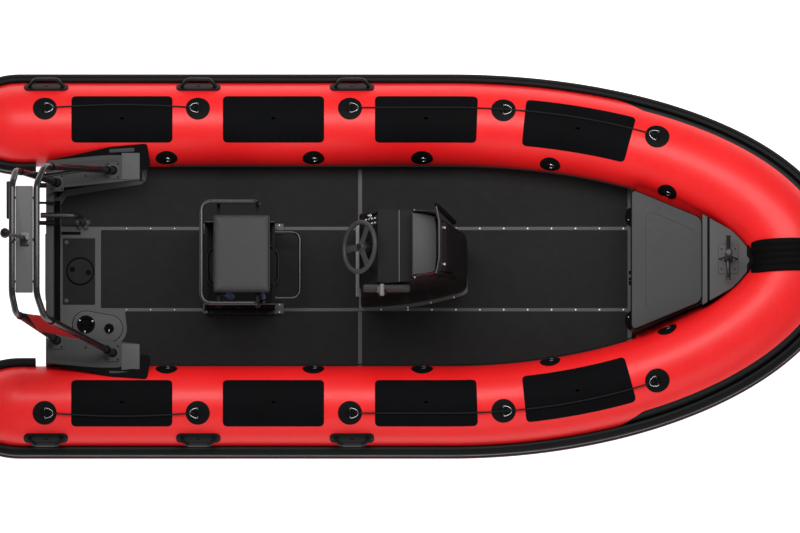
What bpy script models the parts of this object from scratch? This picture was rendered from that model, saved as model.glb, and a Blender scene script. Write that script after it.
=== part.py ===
"""Rigid inflatable boat: an open boat with an air collar on a shallow V hull.

Metres. +X points to the bow, +Y to port, +Z up. The origin lies under the middle
of the boat, on the underside of the keel guard.
"""
import math

import bpy
import bmesh
import numpy as np
from mathutils import Matrix, Vector

for old in list(bpy.data.objects):
    bpy.data.objects.remove(old, do_unlink=True)

GAP = 0.0004                    # left between faces that touch on the real boat

# Outer outline in plan: straight sides, then half an ellipse round the bow.
BOW_START_X = 0.32
BOW_LENGTH = 2.528
HALF_BEAM = 1.235

# Air collar and its rubbing strake.
TUBE_R = 0.27
TUBE_SIDES = 24
STRAKE_PROUD = 0.047
TUBE_Z = 0.51
TUBE_Y = HALF_BEAM - STRAKE_PROUD - TUBE_R
BOW_RISE = 0.27
BOW_STEPS = 22
GUARD_HALF = 0.105
CONE_X = -2.43
CONE_LENGTH = 0.366
CONE_STEPS = 6
CONE_STRAKE_GAP = 0.005

# Hull, transom and deck.
HULL_AFT_X = -2.215
HULL_WALL = 0.006
KEEL_FLAT_END_X = 0.9
CHINE_SPREAD = 1.08
CHINE_HEIGHT = 0.70
SHEER_ANGLE = math.radians(30)
SHEER_GAP = 0.004
KEEL_Z = 0.012
STEM_HEAD = (2.290, 0.640)
TRANSOM_THICK = 0.05
TRANSOM_TOP_Z = 0.66
DECK_TOP_Z = 0.40
DECK_THICK = 0.008
PAD_THICK = 0.003
FLOOR_Z = DECK_TOP_Z + 2 * GAP + PAD_THICK      # what stands on the deck pads
STRIP_Y = 0.263
STRIP_HALF = 0.011
PAD_AFT_X = -1.914
PAD_FORE_X = 1.47

# Fuel hatch and filler plate on the after deck.
HATCH_X = (-2.157, -1.952)
HATCH_Y = (-0.229, 0.198)
CAP_CENTRE = (-2.047, -0.016)
CAP_R = 0.09
FILLER_CENTRE = (-2.01, -0.359)
SWITCH_CENTRE = (-1.862, -0.385)
FILLER_PLATE_R = 0.086

# Quarter boxes beside the engine well.
BOX_TOP_Z = 0.715
BOX_LID_THICK = 0.03

# Bow locker and bow deck.
LOCKER_X = (1.482, 1.955)
LOCKER_TOP_Z = 0.79
LID_X = (1.482, 1.93)
LID_THICK = 0.025
LID_SEAL = 0.003
LID_HINGE = (1.946, 0.824)
BOW_DECK_X = (1.975, 2.235)
BOW_DECK_TOP_Z = 0.83
BOW_DECK_HALF = (0.270, 0.123)      # half widths at its after and fore ends
POST_X = 2.10

# Seat.
SEAT_X = (-1.192, -0.832)
SEAT_HALF = 0.247
SEAT_TOP_Z = 1.10
SEAT_TRAY_TOP_Z = 1.03
RAIL_Z = 1.13
SEAT_BASE_X = (-1.25, -0.80)
SEAT_BASE_TOP_Z = 0.665

# Console and helm.
CONSOLE_TOP_Z = 1.40
WHEEL_CENTRE = Vector((-0.257, 0.0, 1.356))
WHEEL_R = 0.163
WHEEL_RIM_R = 0.012
HELM_AXIS = Vector((-0.788, 0.0, 0.616)).normalized()
THROTTLE_PIVOT = (-0.115, -0.300, 1.31)

# Stern arch.
ARCH_TUBE_R = 0.021
ARCH_TOP_Z = 1.69

boat = bpy.data.collections.new("rigid_inflatable_boat")
cutters = bpy.data.collections.new("cutters")
for group in (boat, cutters):
    bpy.context.scene.collection.children.link(group)


# ---------------------------------------------------------------- materials

def paint(name, colour, roughness, metallic=0.0):
    """One Principled material."""
    made = bpy.data.materials.new(name)
    made.use_nodes = True
    shader = made.node_tree.nodes["Principled BSDF"]
    shader.inputs["Base Color"].default_value = (*colour, 1.0)
    shader.inputs["Roughness"].default_value = roughness
    shader.inputs["Metallic"].default_value = metallic
    made.diffuse_color = (*colour, 1.0)
    return made


RED_FABRIC = paint("red_fabric", (0.86, 0.025, 0.025), 0.42)
BLACK_RUBBER = paint("black_rubber", (0.012, 0.012, 0.013), 0.65)
DECK_FOAM = paint("deck_foam", (0.021, 0.021, 0.021), 0.9)
GREY_PAINT = paint("grey_paint", (0.085, 0.085, 0.088), 0.5)
LIGHT_GREY = paint("light_grey_paint", (0.10, 0.10, 0.10), 0.45)
BLACK_METAL = paint("black_metal", (0.014, 0.014, 0.015), 0.35, 0.3)
BLACK_PLASTIC = paint("black_plastic", (0.011, 0.011, 0.012), 0.4)
SEAT_VINYL = paint("seat_vinyl", (0.075, 0.075, 0.075), 0.6)
SMOKED = paint("smoked_acrylic", (0.02, 0.02, 0.022), 0.08)
STEEL = paint("bright_steel", (0.55, 0.55, 0.56), 0.25, 1.0)
ALLOY = paint("hull_alloy", (0.12, 0.12, 0.125), 0.45, 0.6)
TANK_PLASTIC = paint("tank_plastic", (0.02, 0.02, 0.02), 0.5)
ROPE = paint("black_rope", (0.015, 0.015, 0.015), 0.9)


# ------------------------------------------------------------------ helpers

def add(name, data, material, group=boat):
    """Put mesh or curve data into the scene as a named object."""
    data.materials.clear()
    data.materials.append(material)
    piece = bpy.data.objects.new(name, data)
    group.objects.link(piece)
    return piece


def from_bmesh(name, bm, material, group=boat):
    bmesh.ops.recalc_face_normals(bm, faces=bm.faces)
    mesh = bpy.data.meshes.new(name)
    bm.to_mesh(mesh)
    bm.free()
    return add(name, mesh, material, group)


def soften(piece, width, segments=2):
    """Round the edges with a Bevel modifier."""
    bevel = piece.modifiers.new("soft_edges", "BEVEL")
    bevel.width = width
    bevel.segments = segments
    bevel.limit_method = "ANGLE"
    bevel.angle_limit = math.radians(40)
    return piece


def box(name, low, high, material, edge=0.0, group=boat):
    """A block between two corners."""
    bm = bmesh.new()
    bmesh.ops.create_cube(bm, size=1.0)
    size = [b - a for a, b in zip(low, high)]
    middle = [(a + b) / 2 for a, b in zip(low, high)]
    bmesh.ops.scale(bm, vec=size, verts=bm.verts)
    bmesh.ops.translate(bm, vec=middle, verts=bm.verts)
    piece = from_bmesh(name, bm, material, group)
    if edge:
        soften(piece, edge)
    return piece


def rod(name, start, end, radius, material, sides=16, group=boat):
    """A round bar between two points."""
    start, end = Vector(start), Vector(end)
    along = end - start
    bm = bmesh.new()
    bmesh.ops.create_cone(bm, cap_ends=True, segments=sides, radius1=radius,
                          radius2=radius, depth=along.length)
    turn = along.to_track_quat("Z", "Y").to_matrix().to_4x4()
    bmesh.ops.transform(bm, matrix=Matrix.Translation((start + end) / 2) @ turn,
                        verts=bm.verts)
    return from_bmesh(name, bm, material, group)


def plate(name, outline, low_z, thick, material):
    """A flat outline given as (x, y) points, made as a filled 2D curve."""
    curve = bpy.data.curves.new(name, "CURVE")
    curve.dimensions = "2D"
    curve.fill_mode = "BOTH"
    curve.extrude = thick / 2
    spline = curve.splines.new("POLY")
    spline.points.add(len(outline) - 1)
    for point, (x, y) in zip(spline.points, outline):
        point.co = (x, y, 0.0, 1.0)
    spline.use_cyclic_u = True
    piece = add(name, curve, material)
    piece.location.z = low_z + thick / 2
    return piece


def tube(name, points, radius, material, resolution=3):
    """A bent tube with closed ends, as a bevelled curve."""
    curve = bpy.data.curves.new(name, "CURVE")
    curve.dimensions = "3D"
    curve.bevel_depth = radius
    curve.bevel_resolution = resolution
    curve.use_fill_caps = True
    spline = curve.splines.new("POLY")
    spline.points.add(len(points) - 1)
    for point, place in zip(spline.points, points):
        point.co = (*place, 1.0)
    return add(name, curve, material)


def as_mesh(piece):
    """Turn a curve object into a welded mesh object of the same name."""
    bpy.context.view_layer.update()
    graph = bpy.context.evaluated_depsgraph_get()
    mesh = bpy.data.meshes.new_from_object(piece.evaluated_get(graph))
    mesh.transform(piece.matrix_world)
    bm = bmesh.new()
    bm.from_mesh(mesh)
    bmesh.ops.remove_doubles(bm, verts=bm.verts, dist=0.00001)
    bm.to_mesh(mesh)
    bm.free()
    name = piece.name
    material = mesh.materials[0]
    group = piece.users_collection[0]
    bpy.data.objects.remove(piece, do_unlink=True)
    return add(name, mesh, material, group)


def keep_as_tool(piece):
    """Mark a piece as a cutter or a shape that another one takes in."""
    for group in list(piece.users_collection):
        group.objects.unlink(piece)
    cutters.objects.link(piece)
    piece.hide_render = True
    piece.display_type = "WIRE"


def combine(target, tools, operation="UNION"):
    """Boolean each tool into the target, which stays one body."""
    for tool in tools:
        if tool.type == "CURVE":
            tool = as_mesh(tool)
        change = target.modifiers.new(operation.lower(), "BOOLEAN")
        change.operation = operation
        change.object = tool
        keep_as_tool(tool)
    return target


def turned(name, profile, material, steps=24):
    """A solid turned about Z: (radius, height) points from top to bottom."""
    mesh = bpy.data.meshes.new(name)
    mesh.from_pydata([(r, 0.0, z) for r, z in profile],
                     [(i, i + 1) for i in range(len(profile) - 1)], [])
    piece = add(name, mesh, material)
    screw = piece.modifiers.new("turn", "SCREW")
    screw.steps = screw.render_steps = steps
    screw.use_merge_vertices = True
    screw.merge_threshold = 0.00001
    return piece


def loft(name, rings, material, group=boat):
    """A closed solid through rings that have the same number of points."""
    bm = bmesh.new()
    rows = [[bm.verts.new(p) for p in ring] for ring in rings]
    count = len(rows[0])
    for low, high in zip(rows, rows[1:]):
        for i in range(count):
            j = (i + 1) % count
            bm.faces.new((low[i], low[j], high[j], high[i]))
    bm.faces.new(rows[0])
    bm.faces.new(rows[-1])
    return from_bmesh(name, bm, material, group)


def arc(centre, radius, start, end, steps):
    """Points of an arc in plan, angles in degrees."""
    angles = np.radians(np.linspace(start, end, steps + 1))
    return [(centre[0] + radius * math.cos(a), centre[1] + radius * math.sin(a))
            for a in angles]


def rounded(points, radius, steps=5):
    """An open route with each inner corner replaced by a smooth bend."""
    points = [Vector(p) for p in points]
    route = [points[0]]
    for before, corner, after in zip(points, points[1:], points[2:]):
        back = (before - corner).normalized()
        on = (after - corner).normalized()
        half = back.angle(on) / 2
        reach = min(radius / math.tan(half), (before - corner).length * 0.49,
                    (after - corner).length * 0.49)
        first, last = corner + back * reach, corner + on * reach
        for k in range(steps + 1):
            t = k / steps
            route.append(first * (1 - t) ** 2 + corner * 2 * t * (1 - t) + last * t ** 2)
    return route + [points[-1]]


def mirrored_route(half):
    """A route to starboard and back: a port half whose mirror image follows it."""
    return half + [(x, -y, z) for x, y, z in reversed(half)]


# ---------------------------------------------------------- collar geometry

def rise(x):
    """Height of the tube's centre line, which sweeps up towards the bow."""
    forward = max(0.0, x - BOW_START_X) / (BOW_LENGTH - STRAKE_PROUD - TUBE_R)
    return TUBE_Z + BOW_RISE * forward ** 2


def bow_station(angle):
    """Centre of the tube and outward direction; 0 is the nose, 90 the port side."""
    t = math.radians(angle)
    point = Vector((BOW_START_X + BOW_LENGTH * math.cos(t), HALF_BEAM * math.sin(t)))
    normal = Vector((HALF_BEAM * math.cos(t), BOW_LENGTH * math.sin(t))).normalized()
    centre = point - normal * (STRAKE_PROUD + TUBE_R)
    return Vector((centre.x, centre.y, rise(centre.x))), normal


def cone_station(angle, side):
    """Point on the cone's equator; 0 is the outer side, 180 the inner one."""
    t = math.radians(angle)
    point = Vector((CONE_X - CONE_LENGTH * math.sin(t),
                    side * (TUBE_Y + TUBE_R * math.cos(t)), TUBE_Z))
    normal = Vector((-math.sin(t) / CONE_LENGTH, side * math.cos(t) / TUBE_R))
    return point, normal.normalized()


def section_at(centre, normal, section):
    """Carry a section of (outward, up) points to a station."""
    return [(centre.x + d * normal.x, centre.y + d * normal.y, centre.z + h)
            for d, h in section]


def circle_section(radius):
    turns = np.radians(np.arange(TUBE_SIDES) * 360 / TUBE_SIDES)
    return [(radius * math.cos(a), radius * math.sin(a)) for a in turns]


CENTRE_LINE = np.array([bow_station(a)[0] for a in np.linspace(90, 0, 181)]
                       + [(x, TUBE_Y, TUBE_Z) for x in np.linspace(0.3, -2.43, 274)])


def station_at(x, inset=0.0):
    """The collar station whose centre, moved inwards by inset, lies at x."""
    if x <= BOW_START_X:
        return Vector((x, TUBE_Y, TUBE_Z)), Vector((0, 1))
    low, high = 0.0, 90.0
    for _ in range(40):
        middle = (low + high) / 2
        centre, normal = bow_station(middle)
        if centre.x - normal.x * inset > x:
            low = middle
        else:
            high = middle
    return centre, normal


def clear_y(x, z, gap=0.003):
    """Half width that is free between the tubes at a station and a height."""
    near, far = 0.0, TUBE_Y
    for _ in range(40):
        middle = (near + far) / 2
        reach = np.linalg.norm(CENTRE_LINE - np.array([x, middle, z]), axis=1).min()
        if reach > TUBE_R + gap:
            near = middle
        else:
            far = middle
    return near


def inside_y(x, z, gap=0.003):
    """Half width that is free between the tubes and inside the hull."""
    keel, chine, sheer = hull_lines(*station_at(x, (TUBE_R + SHEER_GAP) * math.cos(SHEER_ANGLE)))
    free = clear_y(x, z, gap)
    if z < chine.z:
        return min(free, chine.y * (z - keel.z) / (chine.z - keel.z) - HULL_WALL - 0.012)
    if z < sheer.z + 0.015:
        return min(free, sheer.y - HULL_WALL - 0.004)
    return free


# ------------------------------------------------------------ collar pieces

def collar_side(side, name):
    """Straight air chamber with its rounded stern cone."""
    rings = []
    for step in range(CONE_STEPS):
        t = math.radians(90 * (step + 0.35) / (CONE_STEPS + 0.35))
        x = CONE_X - CONE_LENGTH * math.cos(t)
        rings.append(section_at(Vector((x, side * TUBE_Y, TUBE_Z)), Vector((0, side)),
                                circle_section(TUBE_R * math.sin(t))))
    for x in (CONE_X, -1.0, BOW_START_X - GAP):
        rings.append(section_at(Vector((x, side * TUBE_Y, TUBE_Z)), Vector((0, side)),
                                circle_section(TUBE_R)))
    return loft(name, rings, RED_FABRIC)


def collar_bow():
    """Air chamber round the bow."""
    stations = [bow_station(a) for a in np.linspace(90, -90, BOW_STEPS + 1)]
    return loft("collar_bow", [section_at(c, n, circle_section(TUBE_R)) for c, n in stations],
                RED_FABRIC)


def strake_section(reach):
    """Double-ribbed rubber section, measured from the tube's centre plus reach."""
    back = [(math.cos(math.radians(a)) * (TUBE_R + 0.0015),
             math.sin(math.radians(a)) * (TUBE_R + 0.0015)) for a in (-21, -15, 0, 15, 21)]
    proud = TUBE_R + STRAKE_PROUD
    front = [(proud - 0.024, 0.103), (proud, 0.080), (proud, 0.045), (proud - 0.014, 0.032),
             (proud - 0.014, -0.032), (proud, -0.045), (proud, -0.080), (proud - 0.024, -0.103)]
    return [(d + reach, h) for d, h in back + front]


def strake_side(side, name):
    """Rubbing strake along one side, round the cone and back to its inner face."""
    full = strake_section(0.0)
    on_skin = strake_section(-TUBE_R)
    rings = [section_at(Vector((x, side * TUBE_Y, TUBE_Z)), Vector((0, side)), full)
             for x in (BOW_START_X - GAP, -1.0, CONE_X + 0.02)]
    for angle in np.linspace(0, 180, 15):
        lift = CONE_STRAKE_GAP * math.sin(math.radians(angle))
        rings.append(section_at(*cone_station(angle, side), strake_section(lift - TUBE_R)))
    inner = Vector((-2.33, side * (TUBE_Y - TUBE_R), TUBE_Z))
    rings.append(section_at(inner, Vector((0, -side)), on_skin))
    return loft(name, rings, BLACK_RUBBER)


def strake_bow():
    stations = [bow_station(a) for a in np.linspace(90, -90, BOW_STEPS + 1)]
    return loft("strake_bow", [section_at(c, n, strake_section(0.0)) for c, n in stations],
                BLACK_RUBBER)


def nose_point(y, outward, up):
    """Point of the bow tube's section that lies y to port of the middle."""
    low, high = 0.0, 90.0
    for _ in range(40):
        middle = (low + high) / 2
        centre, normal = bow_station(middle)
        if centre.y + outward * normal.y < abs(y):
            low = middle
        else:
            high = middle
    flat = centre.xy + normal * outward
    return (flat.x, y, centre.z + up)


def bow_guard():
    """Thick rubber saddle of even width over the nose of the tube, above the strake."""
    low, high = TUBE_R + 0.005, TUBE_R + 0.026
    turns = np.radians(np.linspace(30, 157, 10))
    section = [(low * math.cos(a), low * math.sin(a)) for a in turns]
    section += [(high * math.cos(a), high * math.sin(a)) for a in reversed(turns)]
    rings = [[nose_point(y, d, h) for d, h in section]
             for y in np.linspace(-GUARD_HALF, GUARD_HALF, 7)]
    return loft("bow_guard", rings, BLACK_RUBBER)


# -------------------------------------------------------------- hull pieces

def hull_lines(centre, normal):
    """Keel, chine and sheer points of the hull below one collar station."""
    reach = TUBE_R + SHEER_GAP
    flat = centre.xy - normal * reach * math.cos(SHEER_ANGLE)
    sheer = Vector((flat.x, flat.y, centre.z - reach * math.sin(SHEER_ANGLE)))
    forward = max(0.0, sheer.x - KEEL_FLAT_END_X) / (STEM_HEAD[0] - KEEL_FLAT_END_X)
    keel = Vector((sheer.x, 0.0, KEEL_Z + (STEM_HEAD[1] - KEEL_Z) * forward ** 2.3))
    lift = sheer.z - keel.z
    chine = Vector((sheer.x, sheer.y * CHINE_SPREAD, keel.z + lift * CHINE_HEIGHT))
    return keel, chine, sheer


def hull_shell():
    """V hull as an open half surface, mirrored and given its wall."""
    aft = [(Vector((x, TUBE_Y, TUBE_Z)), Vector((0, 1))) for x in (HULL_AFT_X, -1.2, -0.3)]
    bow = [bow_station(a) for a in np.linspace(90, 8, 17)]
    rows = []
    for centre, normal in aft + bow:
        keel, chine, sheer = hull_lines(centre, normal)
        rows.append([keel, keel.lerp(chine, 0.5), chine, sheer])
    bm = bmesh.new()
    verts = [[bm.verts.new(p) for p in row] for row in rows]
    for low, high in zip(verts, verts[1:]):
        for i in range(len(low) - 1):
            bm.faces.new((low[i], low[i + 1], high[i + 1], high[i]))
    mesh = bpy.data.meshes.new("hull_shell")
    bm.to_mesh(mesh)
    bm.free()
    hull = add("hull_shell", mesh, ALLOY)
    mirror = hull.modifiers.new("other_side", "MIRROR")
    mirror.use_axis = (False, True, False)
    mirror.use_clip = True
    mirror.merge_threshold = 0.0001
    wall = hull.modifiers.new("wall", "SOLIDIFY")
    wall.thickness = HULL_WALL
    wall.offset = -1.0
    return hull


def keel_guard():
    """Flat wear bar under the level run of the keel."""
    return box("keel_guard", (HULL_AFT_X, -0.055, 0.0), (KEEL_FLAT_END_X, 0.055, 0.0115),
               ALLOY, 0.003)


def transom():
    """Stern board between the tubes, thick enough to clamp an engine to."""
    heights = (0.375, 0.43, 0.51, 0.58, TRANSOM_TOP_Z)
    half = [(0.0, 0.012), (0.735, 0.27)] + [(clear_y(-2.24, z, 0.004), z) for z in heights]
    half[-1] = (half[-2][0], TRANSOM_TOP_Z)
    outline = half + [(-y, z) for y, z in reversed(half[1:])]
    fore = HULL_AFT_X - GAP
    rings = [[(x, y, z) for y, z in outline] for x in (fore - TRANSOM_THICK, fore)]
    return loft("transom", rings, GREY_PAINT)


def stringer(side, name):
    """Longitudinal web under the deck."""
    y = side * 0.40
    return box(name, (-2.1, y - 0.004, 0.168), (0.45, y + 0.004, DECK_TOP_Z - DECK_THICK - GAP),
               ALLOY)


def fuel_tank():
    return box("fuel_tank", (-2.12, -0.30, 0.145), (-1.25, 0.30, 0.37), TANK_PLASTIC, 0.02)


def deck_outline(aft, fore, gap, steps=16):
    """Plan of the floor between the tubes."""
    stations = [aft] + list(np.linspace(BOW_START_X, fore, steps))
    port = [(x, inside_y(x, DECK_TOP_Z - DECK_THICK, gap)) for x in stations]
    return port + [(x, -y) for x, y in reversed(port)]


def deck_plate():
    return plate("deck_plate", deck_outline(HULL_AFT_X, 1.56, 0.004),
                 DECK_TOP_Z - DECK_THICK, DECK_THICK, GREY_PAINT)


def side_pad(side, name):
    """Anti-slip pad between the grey strip and the tube."""
    inner = STRIP_Y + STRIP_HALF
    outer = [(x, inside_y(x, DECK_TOP_Z, 0.012)) for x in np.linspace(BOW_START_X, PAD_FORE_X, 10)]
    if side > 0:
        aft = [(-2.17, inner), (-2.17, 0.415), (-2.135, 0.470), (-1.655, 0.548),
               (-1.625, 0.575), (-1.62, 0.64)]
    else:
        aft = [(-1.76, inner)] + arc((-1.862, SWITCH_CENTRE[1] * -1), 0.115, 0, 80, 4)
        aft += [(-1.80, 0.53), (-1.62, 0.56), (-1.62, 0.64)]
    outline = aft + [(-1.60, outer[0][1])] + outer + [(PAD_FORE_X, inner)]
    return plate(name, [(x, side * y) for x, y in outline], DECK_TOP_Z + GAP, PAD_THICK, DECK_FOAM)


def centre_pad():
    half = STRIP_Y - STRIP_HALF
    outline = [(PAD_AFT_X, -half), (PAD_FORE_X, -half), (PAD_FORE_X, half), (PAD_AFT_X, half)]
    return plate("deck_pad_centre", outline, DECK_TOP_Z + GAP, PAD_THICK, DECK_FOAM)


def quarter_box(side, name):
    """Step box beside the engine well, with a wide top that bridges to the tube."""
    wall = [(-2.195, 0.452), (-2.145, 0.512), (-1.664, 0.585), (-1.664, 0.640), (-1.80, 0.640),
            (-2.195, 0.640)]
    top = [(-2.262, 0.430), (-2.160, 0.480), (-1.664, 0.530), (-1.664, 0.705), (-1.80, 0.700),
           (-2.262, 0.655)]
    wall_top = BOX_TOP_Z - BOX_LID_THICK
    levels = [(wall, FLOOR_Z), (wall, wall_top), (top, wall_top), (top, BOX_TOP_Z)]
    rings = [[(x, side * y, z) for x, y in outline] for outline, z in levels]
    return loft(name, rings, GREY_PAINT)


# ------------------------------------------------------ after deck fittings

def fuel_hatch():
    """Lift-out panel with a round hole for the inspection cap."""
    low_z = DECK_TOP_Z + GAP
    hatch = box("fuel_hatch", (HATCH_X[0], HATCH_Y[0], low_z),
                (HATCH_X[1], HATCH_Y[1], low_z + 0.006), DECK_FOAM)
    hole = rod("cap_hole", (*CAP_CENTRE, low_z - 0.01), (*CAP_CENTRE, low_z + 0.02),
               CAP_R + 0.0015, DECK_FOAM, 32)
    return combine(hatch, [hole], "DIFFERENCE")


def inspection_cap():
    """Bayonet cap with a grip bar across a dish."""
    r = CAP_R
    cap = turned("inspection_cap", [(0.0, 0.005), (r - 0.016, 0.005), (r - 0.012, 0.012),
                                    (r, 0.010), (r, 0.0), (0.0, 0.0)], BLACK_PLASTIC, 32)
    grip = box("cap_grip", (-r + 0.02, -0.010, 0.003), (r - 0.02, 0.010, 0.012), BLACK_PLASTIC)
    combine(cap, [grip])
    for piece in (cap, grip):
        piece.location = (*CAP_CENTRE, DECK_TOP_Z + GAP)
    return cap


def filler_plate():
    """Stadium plate that carries the filler and the battery switch."""
    a, b = Vector(FILLER_CENTRE), Vector(SWITCH_CENTRE)
    lean = math.degrees(math.atan2(b.y - a.y, b.x - a.x))
    outline = arc(b, FILLER_PLATE_R, lean - 90, lean + 90, 10)
    outline += arc(a, FILLER_PLATE_R, lean + 90, lean + 270, 10)
    return plate("filler_plate", outline, DECK_TOP_Z + GAP, 0.005, GREY_PAINT)


def filler_cap():
    """Quarter-turn fuel cap with a finger bar."""
    cap = turned("fuel_filler_cap", [(0.0, 0.006), (0.040, 0.006), (0.044, 0.012), (0.058, 0.008),
                                     (0.058, 0.0), (0.0, 0.0)], BLACK_PLASTIC, 24)
    bar = box("filler_bar", (-0.034, -0.007, 0.003), (0.034, 0.007, 0.014), BLACK_PLASTIC)
    combine(cap, [bar])
    for piece in (cap, bar):
        piece.location = (*FILLER_CENTRE, DECK_TOP_Z + 2 * GAP + 0.005)
    return cap


def battery_switch():
    """Isolator knob with a raised pointer bar."""
    knob = turned("battery_switch", [(0.0, 0.012), (0.029, 0.012), (0.032, 0.009),
                                     (0.032, 0.0), (0.0, 0.0)], BLACK_PLASTIC, 20)
    bar = box("switch_bar", (-0.007, -0.030, 0.004), (0.007, 0.030, 0.030), BLACK_PLASTIC)
    combine(knob, [bar])
    for piece in (knob, bar):
        piece.location = (*SWITCH_CENTRE, DECK_TOP_Z + 2 * GAP + 0.005)
    return knob


def rigging_conduit():
    """Hose for the engine cables, from the transom down into a deck socket."""
    y = 0.297
    route = rounded([(-2.30, y, 0.74), (-2.07, y, 0.73), (-2.035, y, 0.60),
                     (-2.035, y, FLOOR_Z)], 0.08, 4)
    return tube("rigging_conduit", route, 0.018, BLACK_RUBBER, 2)


# --------------------------------------------------------------- bow pieces

LID_HALF = [(LID_X[0], 0.452), (1.53, 0.437), (1.915, 0.274), (LID_X[1], 0.262)]


def locker_outline(aft, fore, top, steps=7):
    """Plan of the bow locker at a height: under its lid, clear of the tubes and hull."""
    lid = np.array(LID_HALF)
    port = [(x, min(inside_y(x, top, 0.010), np.interp(x, lid[:, 0], lid[:, 1])) - 0.006)
            for x in np.linspace(aft, fore, steps)]
    return port + [(x, -y) for x, y in reversed(port)]


def bow_locker():
    """Open-topped locker moulding in front of the deck."""
    heights = (FLOOR_Z, 0.47, 0.54, 0.61, 0.66, 0.72, LOCKER_TOP_Z)
    bm = bmesh.new()
    rows = []
    for z in heights:
        ring = locker_outline(*LOCKER_X, z)
        rows.append([bm.verts.new((x, y, z)) for x, y in ring])
    count = len(rows[0])
    for low, high in zip(rows, rows[1:]):
        for i in range(count):
            j = (i + 1) % count
            bm.faces.new((low[i], low[j], high[j], high[i]))
    bm.faces.new(rows[0])
    locker = from_bmesh("bow_locker", bm, GREY_PAINT)
    wall = locker.modifiers.new("wall", "SOLIDIFY")
    wall.thickness = 0.006
    wall.offset = -1.0
    return locker


def lid_outline():
    """Rounded trapezium of the locker lid."""
    half = [(x, min(y, clear_y(x, LOCKER_TOP_Z, 0.006))) for x, y in LID_HALF]
    corners = [(x, -y) for x, y in half] + list(reversed(half))
    return corners


def bow_locker_lid():
    """Hinged lid; its origin lies on the hinge line at the forward edge."""
    low_z = LOCKER_TOP_Z + LID_SEAL
    rings = [[(x, y, z) for x, y in lid_outline()] for z in (low_z, low_z + LID_THICK)]
    lid = loft("bow_locker_lid", rings, LIGHT_GREY)
    hinge = Vector((LID_HINGE[0], 0.0, LID_HINGE[1]))
    lid.data.transform(Matrix.Translation(-hinge))
    lid.location = hinge
    return soften(lid, 0.006)


def bow_deck():
    """Small deck over the stem, shaped to the tubes on each side."""
    stations = np.linspace(*BOW_DECK_X, 7)
    low_z = BOW_DECK_TOP_Z - 0.03
    port = [(x, min(clear_y(x, low_z, 0.004), np.interp(x, BOW_DECK_X, BOW_DECK_HALF)))
            for x in stations]
    outline = port + [(x, -y) for x, y in reversed(port)]
    return plate("bow_deck", outline, low_z, 0.03, GREY_PAINT)


def samson_post():
    """Mooring post with a low cross bar and two struts on a bolted base plate."""
    low_z = BOW_DECK_TOP_Z + GAP
    base = box("samson_post", (POST_X - 0.063, -0.095, low_z), (POST_X + 0.063, 0.095, low_z + 0.008),
               BLACK_METAL)
    post = rod("post_shaft", (POST_X, 0, low_z + 0.004), (POST_X, 0, low_z + 0.31), 0.025,
               BLACK_METAL)
    bar = rod("post_bar", (POST_X, -0.142, low_z + 0.07), (POST_X, 0.142, low_z + 0.07), 0.015,
              BLACK_METAL, 12)
    struts = [rod("post_strut", (POST_X + s * 0.058, 0, low_z + 0.004),
                  (POST_X, 0, low_z + 0.12), 0.006, BLACK_METAL, 8) for s in (-1, 1)]
    return combine(base, [post, bar] + struts)


# ----------------------------------------------------- collar side fittings

def grab_handle(index, x, side):
    """Moulded handle: a base on the tube's shoulder and a bridged grip."""
    name = f"grab_handle_{index}"
    base = box(name, (-0.142, -0.040, 0.0), (0.142, 0.040, 0.012), BLACK_RUBBER)
    route = rounded([(-0.112, 0, 0.0105), (-0.076, 0, 0.058), (0.076, 0, 0.058),
                     (0.112, 0, 0.0105)], 0.04, 2)
    grip = as_mesh(tube("grip", route, 0.013, BLACK_RUBBER, 2))
    combine(base, [grip])
    lean = math.radians(53)
    reach = TUBE_R + 0.0015
    for piece in (base, grip):
        piece.location = (x, side * (TUBE_Y + reach * math.sin(lean)),
                          TUBE_Z + reach * math.cos(lean))
        piece.rotation_euler = (-side * lean, 0.0, 0.0)
    return base


def on_collar(x, side, lean, reach):
    """Point beside the tube: lean is degrees outboard of its top, reach from centre."""
    centre, normal = station_at(x)
    a = math.radians(lean)
    flat = centre.xy + normal * reach * math.sin(a)
    return (flat.x, side * flat.y, centre.z + reach * math.cos(a))


def lifeline(name, x_start, x_end, side, lean, count, bow_out=0.0):
    """Grab line held at each end by a ring, lying along the tube."""
    xs = np.linspace(x_start, x_end, count)
    t = np.linspace(0.0, 1.0, count)
    leans = lean + bow_out * np.sin(math.pi * t)
    route = [on_collar(x, side, a, TUBE_R + 0.011) for x, a in zip(xs, leans)]
    return tube(name, route, 0.005, ROPE, 2)


# -------------------------------------------------------------- stern arch

def arch_frame():
    """Two bent hoops, joined by cross bars and a web plate on each side."""
    foot_z = BOX_TOP_Z + 0.014
    feet = [(-1.837, 0.590), (-2.195, 0.510)]
    fore = mirrored_route([(*feet[0], foot_z), (-2.270, 0.487, 1.585),
                           (-2.320, 0.352, ARCH_TOP_Z)])
    aft = mirrored_route([(*feet[1], foot_z), (-2.452, 0.460, 1.585),
                          (-2.477, 0.352, ARCH_TOP_Z)])
    frame = as_mesh(tube("arch_frame", rounded(fore, 0.12), ARCH_TUBE_R, BLACK_METAL, 3))
    parts = [tube("aft_hoop", rounded(aft, 0.10), ARCH_TUBE_R, BLACK_METAL, 3)]
    for y in (-0.27, 0.0, 0.27):
        parts.append(rod("cross_bar", (-2.477, y, 1.672), (-2.320, y, 1.672), 0.009,
                         BLACK_METAL, 10))
    for side in (-1, 1):
        parts.append(rod("leg_brace", (-2.001, side * 0.551, 1.045),
                         (-2.326, side * 0.484, 1.150), 0.014, BLACK_METAL, 12))
        for x, y in feet:
            low_z = BOX_TOP_Z + GAP
            parts.append(box("foot_plate", (x - 0.045, side * y - 0.045, low_z),
                             (x + 0.045, side * y + 0.045, low_z + 0.009), BLACK_METAL))
    return combine(frame, parts)


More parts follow.
